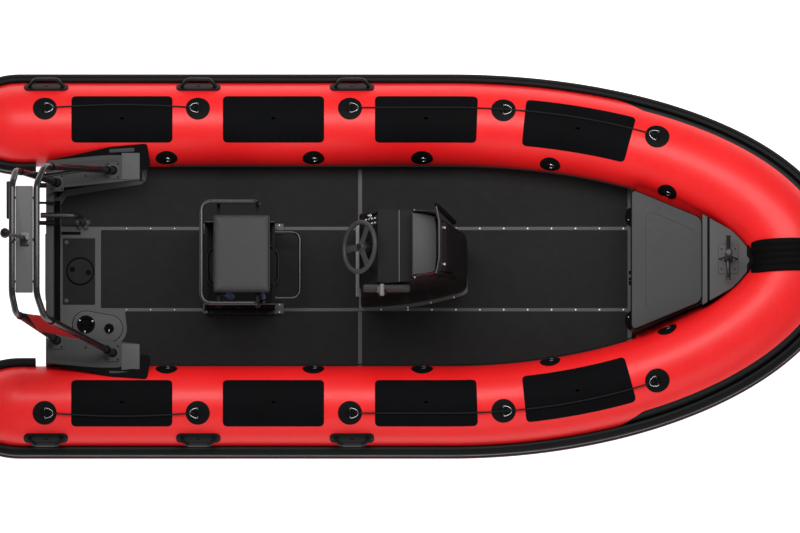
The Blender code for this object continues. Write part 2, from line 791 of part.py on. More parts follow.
def arch_plate():
    """Equipment shelf between the hoops."""
    return box("arch_plate", (-2.4545, -0.345, 1.6815), (-2.3425, 0.345, 1.6875), GREY_PAINT)


def light_mast():
    """Raked mast with the all-round light on its head."""
    foot = Vector((-2.398, 0.0, 1.6875 + GAP))
    head = Vector((-2.520, 0.0, 1.93))
    route = rounded([foot, (-2.398, 0.0, 1.76), head], 0.05)
    mast = as_mesh(tube("light_mast", route, 0.011, BLACK_METAL, 3))
    lamp = turned("lamp", [(0.0, 0.085), (0.020, 0.078), (0.031, 0.05), (0.031, 0.02),
                           (0.022, 0.0), (0.0, 0.0)], BLACK_PLASTIC, 16)
    lamp.location = head - Vector((0.0, 0.0, 0.012))
    foot_pad = rod("mast_foot", foot, foot + Vector((0, 0, 0.008)), 0.03, BLACK_METAL, 16)
    return combine(mast, [lamp, foot_pad])


# -------------------------------------------------------------------- seat

def seat_base():
    """Fixed lower frame: two side plates with lightening holes and cross members."""
    x0, x1 = SEAT_BASE_X
    base = box("seat_base", (x0, -0.268, 0.430), (x1, 0.268, 0.445), BLACK_METAL)
    sides = [box("side_plate", (x0, s * 0.264 - 0.004, FLOOR_Z), (x1, s * 0.264 + 0.004,
                 SEAT_BASE_TOP_Z), BLACK_METAL) for s in (-1, 1)]
    bars = [box("cross_member", (x, -0.266, 0.555), (x + 0.016, 0.266, 0.595), BLACK_METAL)
            for x in (x0, x1 - 0.016)]
    combine(base, sides + bars)
    holes = [rod("side_hole", (x, -0.3, 0.52), (x, 0.3, 0.52), 0.026, BLACK_METAL, 12)
             for x in (-1.15, -1.025, -0.90)]
    return combine(base, holes, "DIFFERENCE")


def seat_frame():
    """Sprung upper frame: tray, uprights inside the side plates, arms for the rail."""
    tray = box("seat_frame", (-1.175, -0.236, SEAT_TRAY_TOP_Z - 0.02),
               (-0.850, 0.236, SEAT_TRAY_TOP_Z), BLACK_METAL)
    parts = []
    for side in (-1, 1):
        y = side * 0.246
        for x in (-1.16, -0.91):
            parts.append(box("upright", (x - 0.020, y - 0.008, 0.56), (x + 0.020, y + 0.008,
                             SEAT_TRAY_TOP_Z - 0.004), BLACK_METAL))
            ends = sorted((side * 0.23, side * 0.345))
            parts.append(box("rail_arm", (x - 0.011, ends[0], 1.006), (x + 0.011, ends[1], 1.022),
                             BLACK_METAL))
        ends = sorted((side * 0.315, side * 0.341))
        parts.append(box("rail_post", (-1.171, ends[0], 1.01), (-1.149, ends[1], RAIL_Z - 0.0155),
                         BLACK_METAL))
    return combine(tray, parts)


def seat_cushion():
    low_z = SEAT_TRAY_TOP_Z + GAP
    return box("seat_cushion", (SEAT_X[0], -SEAT_HALF, low_z), (SEAT_X[1], SEAT_HALF, SEAT_TOP_Z),
               SEAT_VINYL, 0.012)


def seat_rail():
    """Grab rail round the back of the seat; its front ends turn down to the arms."""
    half = [(-0.910, 0.328, 1.0226), (-0.910, 0.328, RAIL_Z), (-1.270, 0.328, RAIL_Z)]
    return tube("seat_rail", rounded(mirrored_route(half), 0.07, 4), 0.014, STEEL, 2)


def footrest():
    half = [(SEAT_BASE_X[1] + GAP, 0.213, 0.575), (-0.641, 0.213, 0.575)]
    return tube("footrest", rounded(mirrored_route(half), 0.06, 4), 0.011, STEEL, 2)


def shock_absorber():
    """Damper: a bored body on the base, and a rod that slides in it."""
    x, low_z = -1.025, 0.4454
    body = turned("shock_body", [(0.0145, 0.26), (0.030, 0.255), (0.030, 0.0), (0.0, 0.0),
                                 (0.0, 0.055), (0.0145, 0.055), (0.0145, 0.26)], BLACK_METAL, 20)
    body.location = (x, 0.0, low_z)
    tray_low = SEAT_TRAY_TOP_Z - 0.02 - GAP
    rod_piece = turned("shock_rod", [(0.0, 0.0), (0.026, 0.0), (0.026, -0.03), (0.0135, -0.032),
                                     (0.0135, -0.37), (0.0, -0.37)], STEEL, 20)
    rod_piece.location = (x, 0.0, tray_low)
    return body, rod_piece


# ----------------------------------------------------------- console, helm

def console_ring(aft, fore, half_aft, half_fore, z, steps=7):
    """Plan of the console at one height: flat back, curved sides, rounded nose."""
    t = np.linspace(0.0, 1.0, steps)
    port = [(aft + (fore - 0.03 - aft) * s, half_aft + (half_fore - half_aft) * s ** 2.0)
            for s in t]
    port.append((fore, half_fore - 0.035))
    return [(x, y, z) for x, y in port] + [(x, -y, z) for x, y in reversed(port)]


CONSOLE_LEVELS = [(-0.250, 0.430, 0.250, 0.150, FLOOR_Z), (-0.250, 0.432, 0.240, 0.150, 0.80),
                  (-0.250, 0.425, 0.240, 0.150, 1.02), (-0.262, 0.372, 0.240, 0.158, 1.19),
                  (-0.135, 0.300, 0.240, 0.176, 1.365), (-0.128, 0.272, 0.236, 0.180,
                                                         CONSOLE_TOP_Z)]


def console():
    """Moulded console shell, open underneath."""
    bm = bmesh.new()
    rows = [[bm.verts.new(p) for p in console_ring(*level)] for level in CONSOLE_LEVELS]
    count = len(rows[0])
    for low, high in zip(rows, rows[1:]):
        for i in range(count):
            j = (i + 1) % count
            bm.faces.new((low[i], low[j], high[j], high[i]))
    bm.faces.new(rows[-1])
    shell = from_bmesh("console", bm, BLACK_PLASTIC)
    wall = shell.modifiers.new("wall", "SOLIDIFY")
    wall.thickness = 0.005
    wall.offset = -1.0
    return shell


def console_shelf():
    """Raised grey shelf behind the windscreen."""
    low_z = CONSOLE_TOP_Z + GAP
    port = [(0.077, 0.198), (0.16, 0.190), (0.215, 0.176), (0.232, 0.150)]
    outline = port + [(x, -y) for x, y in reversed(port)]
    rings = [[(x, y, z) for x, y in outline] for z in (low_z, low_z + 0.095)]
    return loft("console_shelf", rings, LIGHT_GREY)


def windscreen():
    """Smoked screen wrapped round the shelf, lower at its after ends."""
    port = [(0.083, 0.213, 1.515), (0.165, 0.203, 1.575), (0.216, 0.186, 1.615),
            (0.240, 0.150, 1.645), (0.246, 0.075, 1.647)]
    top = port + [(0.247, 0.0, 1.647)] + [(x, -y, z) for x, y, z in reversed(port)]
    bm = bmesh.new()
    high = [bm.verts.new(p) for p in top]
    low = [bm.verts.new((x, y, CONSOLE_TOP_Z + 0.001)) for x, y, z in top]
    for i in range(len(top) - 1):
        bm.faces.new((low[i], low[i + 1], high[i + 1], high[i]))
    screen = from_bmesh("windscreen", bm, SMOKED)
    wall = screen.modifiers.new("wall", "SOLIDIFY")
    wall.thickness = 0.004
    wall.offset = 0.0
    return screen


def windscreen_rail():
    """Rail along the top of the screen, with a stay from each end to the nose."""
    half = [(0.228, 0.235, 1.657), (0.250, 0.120, 1.657)]
    rail = as_mesh(tube("windscreen_rail", rounded(mirrored_route(half), 0.05, 3), 0.007,
                        BLACK_METAL, 3))
    stays = [rod("stay", (0.230, s * 0.228, 1.657), (0.382, s * 0.172, 1.222), 0.010,
                 BLACK_METAL, 12) for s in (-1, 1)]
    return combine(rail, stays)


def along_helm(distance, across=0.0, up=0.0):
    """A point on the helm axis; across is to port, up lies in the wheel's plane."""
    upward = Vector((HELM_AXIS.z, 0.0, -HELM_AXIS.x))
    return WHEEL_CENTRE + HELM_AXIS * distance + Vector((0, across, 0)) + upward * up


def helm_turn():
    return HELM_AXIS.to_track_quat("Z", "Y").to_euler()


def helm_boss():
    """Steering gear's round housing on the dash."""
    boss = turned("helm_boss", [(0.0, 0.0), (0.030, 0.0), (0.036, -0.012), (0.036, -0.0455),
                                (0.0, -0.0455)], BLACK_PLASTIC, 20)
    boss.location = along_helm(-0.035)
    boss.rotation_euler = helm_turn()
    return boss


def steering_wheel():
    """Three-spoke wheel with a padded hub."""
    bm = bmesh.new()
    rings = 28
    verts = []
    for i in range(rings):
        a = 2 * math.pi * i / rings
        out = Vector((math.cos(a), math.sin(a), 0.0))
        verts.append([bm.verts.new(out * (WHEEL_R + WHEEL_RIM_R * math.cos(b))
                                   + Vector((0, 0, WHEEL_RIM_R * math.sin(b))))
                      for b in np.linspace(0, 2 * math.pi, 9)[:-1]])
    for i in range(rings):
        low, high = verts[i], verts[(i + 1) % rings]
        for k in range(8):
            bm.faces.new((low[k], low[(k + 1) % 8], high[(k + 1) % 8], high[k]))
    wheel = from_bmesh("steering_wheel", bm, BLACK_RUBBER)
    hub = rod("wheel_hub", (0, 0, -0.0345), (0, 0, 0.006), 0.034, BLACK_RUBBER, 20)
    spokes = []
    for degrees in (-90, 30, 150):
        spoke = box("wheel_spoke", (0.010, -0.017, -0.012), (WHEEL_R, 0.017, -0.003),
                    BLACK_METAL)
        spoke.data.transform(Matrix.Rotation(math.radians(degrees), 4, "Z"))
        spokes.append(spoke)
    combine(wheel, [hub] + spokes)
    for piece in [wheel, hub] + spokes:
        piece.location = WHEEL_CENTRE
        piece.rotation_euler = helm_turn()
    return wheel


def throttle_box():
    """Side-mounted control box on the starboard side of the console."""
    x, y, z = THROTTLE_PIVOT
    return box("throttle_box", (x - 0.12, -0.2735, z - 0.09), (x + 0.18, -0.2425, z + 0.055),
               GREY_PAINT, 0.008)


def throttle_lever():
    """Lever with a cross grip, pivoting on the control box's outer face."""
    x, y, z = THROTTLE_PIVOT
    lever = rod("throttle_lever", (0, 0.0255, 0), (0, -0.006, 0), 0.026, BLACK_METAL, 20)
    arm = box("lever_arm", (-0.010, -0.004, 0.0), (0.010, 0.006, 0.150), BLACK_METAL)
    grip = rod("lever_grip", (0, 0.045, 0.150), (0, -0.030, 0.150), 0.015, LIGHT_GREY, 14)
    combine(lever, [arm, grip])
    for piece in (lever, arm, grip):
        piece.location = (x, y, z)
    return lever


def ignition_key():
    """Key in its lock on the dash, to port of the wheel."""
    key = turned("ignition_key", [(0.0, 0.012), (0.011, 0.012), (0.013, 0.009), (0.013, 0.0),
                                  (0.0, 0.0)], STEEL, 16)
    bow = box("key_bow", (-0.0015, -0.011, 0.006), (0.0015, 0.011, 0.034), STEEL)
    combine(key, [bow])
    for piece in (key, bow):
        piece.location = along_helm(-0.0795, 0.205, 0.02)
        piece.rotation_euler = helm_turn()
    return key


# ---------------------------------------------------------------- assembly

def build():
    for side, word in ((1, "port"), (-1, "starboard")):
        collar_side(side, f"collar_{word}")
        strake_side(side, f"strake_{word}")
        stringer(side, f"stringer_{word}")
        side_pad(side, f"deck_pad_{word}")
        quarter_box(side, f"quarter_box_{word}")
        lifeline(f"lifeline_aft_{word}", -2.24, -1.32, side, 14.5, 10, 4.0)
        lifeline(f"lifeline_fore_{word}", -0.29, 1.61, side, 14.5, 18)
        lifeline(f"lifeline_inner_{word}", -1.47, 1.56, side, -80.0, 24)
        for index, x in enumerate((-2.265, -1.290, -0.307)):
            grab_handle(index + (1 if side > 0 else 4), x, side)
    collar_bow()
    strake_bow()
    bow_guard()
    hull_shell()
    keel_guard()
    transom()
    fuel_tank()
    deck_plate()
    centre_pad()
    fuel_hatch()
    inspection_cap()
    filler_plate()
    filler_cap()
    battery_switch()
    rigging_conduit()
    bow_locker()
    bow_locker_lid()
    bow_deck()
    samson_post()
    arch_frame()
    arch_plate()
    light_mast()
    seat_base()
    seat_frame()
    seat_cushion()
    seat_rail()
    footrest()
    shock_absorber()
    console()
    console_shelf()
    windscreen()
    windscreen_rail()
    helm_boss()
    steering_wheel()
    throttle_box()
    throttle_lever()
    ignition_key()


build()
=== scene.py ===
"""Looks of a rigid inflatable boat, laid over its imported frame.

Metres. +X points to the bow, +Y to port, +Z up. Every new piece is a closed surface
worked out from the boat's driving sizes, and it keeps its place in its own mesh.
"""

import math

import bmesh
import bpy
import numpy as np
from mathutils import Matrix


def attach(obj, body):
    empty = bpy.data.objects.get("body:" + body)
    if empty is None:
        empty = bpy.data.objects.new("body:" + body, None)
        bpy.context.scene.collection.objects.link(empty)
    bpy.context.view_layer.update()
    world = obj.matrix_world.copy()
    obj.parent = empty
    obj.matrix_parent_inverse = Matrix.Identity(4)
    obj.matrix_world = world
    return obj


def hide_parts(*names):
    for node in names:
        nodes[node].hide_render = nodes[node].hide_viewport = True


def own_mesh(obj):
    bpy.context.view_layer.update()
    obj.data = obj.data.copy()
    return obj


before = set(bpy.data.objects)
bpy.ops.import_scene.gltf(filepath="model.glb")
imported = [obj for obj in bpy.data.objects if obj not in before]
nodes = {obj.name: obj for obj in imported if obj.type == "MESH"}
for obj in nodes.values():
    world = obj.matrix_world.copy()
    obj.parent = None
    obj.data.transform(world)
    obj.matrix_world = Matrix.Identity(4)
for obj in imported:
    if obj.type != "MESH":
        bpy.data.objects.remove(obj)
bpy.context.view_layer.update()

GAP = 0.0004

# Outer outline in plan, and the air collar.
BOW_START_X = 0.32
BOW_LENGTH = 2.528
HALF_BEAM = 1.235
TUBE_R = 0.27
STRAKE_PROUD = 0.047
TUBE_Z = 0.51
INSET = STRAKE_PROUD + TUBE_R
TUBE_Y = HALF_BEAM - INSET
BOW_RISE = 0.27
GUARD_HALF = 0.105
CONE_X = -2.43
CONE_LENGTH = 0.366
CONE_STRAKE_GAP = 0.005

# Hull, transom and deck.
HULL_AFT_X = -2.215
KEEL_FLAT_END_X = 0.9
CHINE_SPREAD = 1.08
CHINE_HEIGHT = 0.70
SHEER_ANGLE = math.radians(30)
SHEER_GAP = 0.004
KEEL_Z = 0.012
STEM_HEAD = (2.290, 0.640)
TRANSOM_AFT_X = -2.2654
TRANSOM_TOP_Z = 0.66
DECK_TOP_Z = 0.40
PAD_TOP_Z = 0.4034
FLOOR_Z = 0.4038
STRIP_Y = 0.263

# Places of the fittings.
CAP_CENTRE = (-2.047, -0.016)
FILLER_CENTRE = (-2.01, -0.359)
SWITCH_CENTRE = (-1.862, -0.385)
BOX_TOP_Z = 0.715
LID_X = (1.482, 1.93)
LID_TOP_Z = 0.818
BOW_DECK_TOP_Z = 0.83
POST_X = 2.10
POST_TOP_Z = 1.14
POST_BAR_Z = 0.9004
SEAT_X = (-1.192, -0.832)
SEAT_HALF = 0.247
SEAT_TRAY_TOP_Z = 1.03
SEAT_TOP_Z = 1.10
RAIL_Z = 1.13
CONSOLE_TOP_Z = 1.40
WHEEL_CENTRE = np.array([-0.257, 0.0, 1.356])
WHEEL_R = 0.163
HELM_AXIS = np.array([-0.788, 0.0, 0.616]) / math.hypot(0.788, 0.616)
THROTTLE_PIVOT = (-0.115, -0.300, 1.31)
ARCH_TOP_Z = 1.69
ARCH_TUBE_R = 0.021


# ---------------------------------------------------------------- finishes

def finish(name, colour, roughness, metallic=0.0, mottle=0.10, mottle_size=0.25, grain="pebble",
           grain_size=0.0012, depth=0.0003, gloss=0.5, coat=0.0, sheen=0.0, see_through=0.0):
    """A Principled finish: two sizes of mottling in its colour and roughness, and a
    grain of the given size and depth, all read from the place on the boat."""
    made = bpy.data.materials.new(name)
    made.use_nodes = True
    tree = made.node_tree
    shader = tree.nodes["Principled BSDF"]
    place = tree.nodes.new("ShaderNodeTexCoord").outputs["Object"]

    def add(kind, inputs, **settings):
        node = tree.nodes.new(kind)
        for key, value in settings.items():
            setattr(node, key, value)
        for key, value in inputs.items():
            if isinstance(value, bpy.types.NodeSocket):
                tree.links.new(value, node.inputs[key])
            else:
                node.inputs[key].default_value = value
        return node

    broad = add("ShaderNodeTexNoise", {"Vector": place, "Scale": 1 / mottle_size, "Detail": 4.0})
    fine = add("ShaderNodeTexNoise", {"Vector": place, "Scale": 9 / mottle_size, "Detail": 6.0})
    cloud = add("ShaderNodeMath", {0: broad.outputs["Fac"], 1: fine.outputs["Fac"]},
                operation="ADD")
    level = add("ShaderNodeMapRange", {"Value": cloud.outputs[0], "From Min": 0.7, "From Max": 1.3,
                                       "To Min": 1 - mottle, "To Max": 1 + mottle})
    tint = add("ShaderNodeVectorMath", {0: colour, "Scale": level.outputs[0]}, operation="SCALE")
    dull = add("ShaderNodeMapRange", {"Value": cloud.outputs[0], "From Min": 0.7, "From Max": 1.3,
                                      "To Min": roughness * 0.88,
                                      "To Max": min(1.0, roughness * 1.12)})
    tree.links.new(tint.outputs["Vector"], shader.inputs["Base Color"])
    tree.links.new(dull.outputs[0], shader.inputs["Roughness"])
    shader.inputs["Metallic"].default_value = metallic
    shader.inputs["Specular IOR Level"].default_value = gloss
    shader.inputs["Coat Weight"].default_value = coat
    shader.inputs["Coat Roughness"].default_value = 0.12
    shader.inputs["Sheen Weight"].default_value = sheen
    shader.inputs["Transmission Weight"].default_value = see_through
    if grain == "weave":
        over = add("ShaderNodeTexWave", {"Vector": place, "Scale": 0.30 / grain_size,
                                         "Distortion": 0.4}, bands_direction="X")
        under = add("ShaderNodeTexWave", {"Vector": place, "Scale": 0.30 / grain_size,
                                          "Distortion": 0.4}, bands_direction="Y")
        height = add("ShaderNodeMath", {0: over.outputs["Fac"], 1: under.outputs["Fac"]},
                     operation="MULTIPLY").outputs[0]
    elif grain == "pebble":
        height = add("ShaderNodeTexVoronoi", {"Vector": place, "Scale": 1 / grain_size},
                     feature="SMOOTH_F1").outputs["Distance"]
    elif grain == "brushed":
        along = add("ShaderNodeMapping", {"Vector": place, "Scale": (0.04, 1.0, 1.0)})
        height = add("ShaderNodeTexNoise", {"Vector": along.outputs[0], "Scale": 1 / grain_size,
                                            "Detail": 3.0}).outputs["Fac"]
    else:
        height = add("ShaderNodeTexNoise", {"Vector": place, "Scale": 1 / grain_size,
                                            "Detail": 2.0}).outputs["Fac"]
    bump = add("ShaderNodeBump", {"Height": height, "Distance": depth, "Strength": 0.6})
    tree.links.new(bump.outputs["Normal"], shader.inputs["Normal"])
    return made


RED_FABRIC = finish("red_coated_fabric", (0.94, 0.012, 0.014), 0.40, mottle=0.04, grain="weave",
                    grain_size=0.0010, depth=0.00012, gloss=0.40, coat=0.06)
STRAKE_RUBBER = finish("strake_rubber", (0.0045, 0.0045, 0.005), 0.46, mottle=0.25, grain="noise",
                       grain_size=0.003, depth=0.0004, gloss=0.12)
TREAD_RUBBER = finish("tread_rubber", (0.0036, 0.0038, 0.0044), 0.70, mottle=0.25,
                      grain_size=0.0042, depth=0.0009, gloss=0.04)
PATCH_RUBBER = finish("patch_rubber", (0.0040, 0.0040, 0.0045), 0.55, mottle=0.25, grain="weave",
                      grain_size=0.0012, depth=0.0002, gloss=0.08)
GRIP_RUBBER = finish("grip_rubber", (0.013, 0.014, 0.015), 0.55, mottle=0.2, grain="noise",
                     grain_size=0.0015, depth=0.0003, gloss=0.25)
DECK_FOAM = finish("deck_foam", (0.0215, 0.0215, 0.0215), 0.9, mottle=0.14, mottle_size=0.5,
                   grain_size=0.0022, depth=0.0005, gloss=0.08)
GREY_PAINT = finish("grey_paint", (0.070, 0.070, 0.070), 0.5, mottle=0.07, grain="noise",
                    grain_size=0.0011, depth=0.00015, gloss=0.3)
DARK_PAINT = finish("dark_paint", (0.041, 0.041, 0.041), 0.55, mottle=0.10, grain="noise",
                    grain_size=0.0011, depth=0.00015, gloss=0.25)
ARCH_GREY = finish("arch_grey", (0.085, 0.086, 0.085), 0.45, mottle=0.05, grain="noise",
                   grain_size=0.0011, depth=0.00015, gloss=0.3)
LID_GREY = finish("lid_grey", (0.043, 0.043, 0.043), 0.48, mottle=0.06, grain_size=0.0030,
                  depth=0.0003, gloss=0.25)
BLACK_METAL = finish("black_metal", (0.008, 0.008, 0.009), 0.28, mottle=0.15, grain="noise",
                     grain_size=0.0012, depth=0.0001, gloss=0.30, coat=0.08)
BLACK_PLASTIC = finish("black_plastic", (0.0060, 0.0060, 0.0065), 0.42, mottle=0.15,
                       grain="noise", grain_size=0.0010, depth=0.0002, gloss=0.25)
MOULDED_BLACK = finish("moulded_black", (0.0070, 0.0070, 0.0074), 0.38, mottle=0.10,
                       grain="noise", grain_size=0.0030, depth=0.0002, gloss=0.14)
DASH_GREY = finish("dash_grey", (0.0100, 0.0100, 0.0102), 0.55, mottle=0.10, grain_size=0.0016,
                   depth=0.0002, gloss=0.10)
WHEEL_RUBBER = finish("wheel_rubber", (0.036, 0.036, 0.037), 0.50, mottle=0.15,
                      grain_size=0.0014, depth=0.0003, gloss=0.3)
SEAT_VINYL = finish("seat_vinyl", (0.047, 0.047, 0.047), 0.62, mottle=0.06, grain_size=0.0020,
                    depth=0.0004, gloss=0.25)
SMOKED = finish("smoked_acrylic", (0.020, 0.020, 0.022), 0.07, mottle=0.03, grain="noise",
                grain_size=0.05, depth=0.00005, see_through=0.35)
STEEL = finish("bright_steel", (0.56, 0.56, 0.57), 0.24, metallic=1.0, mottle=0.05,
               grain="brushed", grain_size=0.0006, depth=0.00004)
DARK_STEEL = finish("dark_steel", (0.17, 0.17, 0.17), 0.27, metallic=1.0, mottle=0.08,
                    grain="brushed", grain_size=0.0006, depth=0.00004)
ALLOY = finish("hull_alloy", (0.16, 0.16, 0.165), 0.42, metallic=0.35, mottle=0.10,
               grain="brushed", grain_size=0.0015, depth=0.00008)
SHELF_GREY = finish("shelf_grey", (0.056, 0.056, 0.057), 0.5, mottle=0.06, grain_size=0.0030,
                    depth=0.0003, gloss=0.22)
SATIN_BLACK = finish("satin_black", (0.0050, 0.0050, 0.0054), 0.5, mottle=0.2, grain="noise",
                     grain_size=0.0012, depth=0.0001, gloss=0.10)
DULL_BLACK = finish("dull_black", (0.0036, 0.0036, 0.0040), 0.65, mottle=0.2, grain="noise",
                    grain_size=0.0016, depth=0.0002, gloss=0.04)
SCREW = finish("bright_screw", (0.90, 0.90, 0.90), 0.30, metallic=0.35, mottle=0.04,
               grain="brushed", grain_size=0.0004, depth=0.00003)
RAIL_BLACK = finish("rail_black", (0.010, 0.010, 0.011), 0.20, mottle=0.12, grain="noise",
                    grain_size=0.0010, depth=0.00006, gloss=0.42, coat=0.16)
GLOSS_BLACK = finish("gloss_black", (0.012, 0.012, 0.012), 0.08, mottle=0.05, grain="noise",
                     grain_size=0.02, depth=0.00004, gloss=0.8, coat=1.0)
RECESS_GREY = finish("recess_grey", (0.036, 0.036, 0.037), 0.55, mottle=0.10, grain="noise",
                     grain_size=0.0011, depth=0.00015, gloss=0.2)
SEAT_WELT = finish("seat_welt", (0.044, 0.044, 0.045), 0.6, mottle=0.06, grain_size=0.0016,
                   depth=0.0003, gloss=0.25)
BRIGHT_TRIM = finish("bright_trim", (0.098, 0.103, 0.116), 0.34, metallic=0.1, mottle=0.06,
                     grain="brushed", grain_size=0.0008, depth=0.00004)
LEVER_GREY = finish("lever_grey", (0.155, 0.155, 0.155), 0.4, mottle=0.06, grain_size=0.0012,
                    depth=0.0002, gloss=0.4)
LENS_WHITE = finish("lens_white", (0.75, 0.76, 0.77), 0.18, mottle=0.03, see_through=0.5)
WHITE_MARK = finish("white_mark", (0.80, 0.80, 0.80), 0.4, mottle=0.04)
TANK_PLASTIC = finish("tank_plastic", (0.02, 0.02, 0.02), 0.5, mottle=0.12)
BLUE_COIL = finish("blue_coil", (0.008, 0.034, 0.110), 0.34, mottle=0.10, coat=0.4)
ROPE_YARN = finish("rope_yarn", (0.012, 0.012, 0.013), 0.85, mottle=0.35, mottle_size=0.02,
                   grain="noise", grain_size=0.0007, depth=0.0004, gloss=0.2)


# ------------------------------------------------------------ mesh building

def grid(points, around=True, along=False, ends=True):
    """Quads between the neighbours of a (rows, columns, 3) array: around joins the last
    column to the first, along the last row to the first, ends fills the end rows."""
    rows, columns = points.shape[:2]
    index = np.arange(rows * columns).reshape(rows, columns)
    wide = np.hstack([index, index[:, :1]]) if around else index
    full = np.vstack([wide, wide[:1]]) if along else wide
    quads = np.stack([full[:-1, :-1], full[:-1, 1:], full[1:, 1:], full[1:, :-1]], -1)
    faces = quads.reshape(-1, 4).tolist()
    if ends and around and not along:
        faces += [index[0, ::-1].tolist(), index[-1].tolist()]
    return points.reshape(-1, 3), faces


def piece(name, shells, material, body="boat", stands_for=(), crisp=38.0):
    """One object made of closed shells: doubles are merged, faces point outwards, and
    edges sharper than crisp degrees stay sharp."""
    starts = np.cumsum([0] + [len(points) for points, _ in shells[:-1]])
    points = np.concatenate([points for points, _ in shells])
    faces = [[corner + int(start) for corner in face]
             for (_, shell), start in zip(shells, starts) for face in shell]
    mesh = bpy.data.meshes.new(name)
    mesh.from_pydata(points.tolist(), [], faces)
    tidy = bmesh.new()
    tidy.from_mesh(mesh)
    bmesh.ops.remove_doubles(tidy, verts=tidy.verts, dist=0.000002)
    bmesh.ops.recalc_face_normals(tidy, faces=tidy.faces)
    tidy.to_mesh(mesh)
    tidy.free()
    mesh.shade_smooth()
    mesh.set_sharp_from_angle(angle=math.radians(crisp))
    mesh.materials.append(material)
    made = bpy.data.objects.new(name, mesh)
    bpy.context.scene.collection.objects.link(made)
    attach(made, body)
    if stands_for:
        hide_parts(*stands_for)
    return made


def unit(vectors):
    """The vectors of an array, each made one long."""
    return vectors / np.linalg.norm(vectors, axis=-1, keepdims=True)


def bend(points, radius, steps=8):
    """An open route whose inner corners become smooth quadratic bends."""
    points = [np.array(p, float) for p in points]
    route = [points[:1]]
    t = np.linspace(0, 1, steps + 1)[:, None]
    for before, corner, after in zip(points, points[1:], points[2:]):
        back, on = unit(before - corner), unit(after - corner)
        half = math.acos(np.clip(back @ on, -1, 1)) / 2
        reach = min(radius / math.tan(half), 0.49 * np.linalg.norm(before - corner),
                    0.49 * np.linalg.norm(after - corner))
        first, last = corner + back * reach, corner + on * reach
        route.append(first * (1 - t) ** 2 + corner * 2 * t * (1 - t) + last * t ** 2)
    return np.concatenate(route + [points[-1:]])


def mirrored(half):
    """A route to starboard and back: a port half, then its mirror image."""
    return list(half) + [(x, -y, z) for x, y, z in reversed(half)]


def outline(corners, radius, steps=6):
    """A closed plan whose corners become quadratic bends of the given radius."""
    corners = [np.array(c, float) for c in corners]
    radii = np.broadcast_to(radius, len(corners))
    t = np.linspace(0, 1, steps + 1)[:, None]
    rows = []
    for i, corner in enumerate(corners):
        back, on = corners[i - 1] - corner, corners[(i + 1) % len(corners)] - corner
        reach = min(radii[i], 0.49 * np.linalg.norm(back), 0.49 * np.linalg.norm(on))
        first, last = corner + unit(back) * reach, corner + unit(on) * reach
        rows.append(first * (1 - t) ** 2 + corner * 2 * t * (1 - t) + last * t ** 2)
    return np.concatenate(rows)


def rectangle(low, high, radius, steps=6):
    """A rounded rectangle between two corners of a plan."""
    (x0, y0), (x1, y1) = low, high
    return outline([(x0, y0), (x1, y0), (x1, y1), (x0, y1)], radius, steps)


def dense(plan, step=0.02):
    """The same closed plan with points no further apart than about step."""
    legs = np.linalg.norm(np.roll(plan, -1, 0) - plan, axis=1)
    run = np.concatenate([[0], np.cumsum(legs)])
    closed = np.vstack([plan, plan[:1]])
    extra = [run[i] + legs[i] * np.arange(1, n) / n
             for i, n in enumerate(np.ceil(legs / step).astype(int)) if n > 1]
    stops = np.unique(np.concatenate([run[:-1], *extra]))
    return np.stack([np.interp(stops, run, closed[:, k]) for k in range(2)], -1)


def disc(radius, sides=40, centre=(0.0, 0.0)):
    """A circle in plan."""
    a = np.linspace(0, 2 * np.pi, sides, endpoint=False)
    return np.stack([centre[0] + radius * np.cos(a), centre[1] + radius * np.sin(a)], -1)


def inset(plan, distance):
    """The closed plan moved inwards by a distance along its corner normals."""
    on = unit(np.roll(plan, -1, 0) - plan + 1e-12)
    before = np.roll(on, 1, 0)
    normal = unit(on + before)[:, ::-1] * [-1, 1]
    area = np.sum(plan[:, 0] * np.roll(plan[:, 1], -1) - plan[:, 1] * np.roll(plan[:, 0], -1))
    return plan + normal * distance * np.sign(area)


def slab(plan, low, high, edge=0.0, foot=0.0, steps=4, place=None):
    """A plan between two heights, its top edge rounded by a quarter circle of radius
    edge and its foot by one of radius foot; place may carry it elsewhere."""
    rings = []
    turn = np.linspace(0, np.pi / 2, steps + 1)
    for a in (turn if foot else turn[-1:]):
        rings.append((foot * (1 - math.sin(a)), low + foot * (1 - math.cos(a))))
    for a in (turn if edge else turn[:1]):
        rings.append((edge * (1 - math.cos(a)), high - edge * (1 - math.sin(a))))
    rows = np.stack([np.column_stack([inset(plan, d), np.full(len(plan), z)])
                     for d, z in rings])
    return grid(rows if place is None else place(rows))


def block(low, high, edge=0.003, corner=None, place=None):
    """A box between two corners with rounded edges all round."""
    plan = rectangle(low[:2], high[:2], corner or edge * 1.5, 3)
    return slab(plan, low[2], high[2], edge, edge, 3, place)


def tube(path, radius, sides=16, flat=1.0, closed=False):
    """A round section of the given radius carried along a path; flat thins it across
    the plane that the path lies in."""
    path = np.asarray(path, float)
    if closed:
        along = np.roll(path, -1, 0) - np.roll(path, 1, 0)
    else:
        along = np.gradient(path, axis=0)
    along = unit(along)
    plane = np.linalg.svd(along - along.mean(0) * (not closed), full_matrices=True)[2][-1]
    if abs(np.abs(along @ plane).max()) > 0.9:
        plane = np.linalg.svd(along, full_matrices=True)[2][-1]
    across = unit(np.cross(along, plane))
    up = np.cross(across, along)
    a = np.linspace(0, 2 * np.pi, sides, endpoint=False)
    radius = np.broadcast_to(radius, len(path))[:, None, None]
    rows = (path[:, None] + radius * (across[:, None] * np.cos(a)[None, :, None]
                                      + up[:, None] * flat * np.sin(a)[None, :, None]))
    return grid(rows, along=closed)


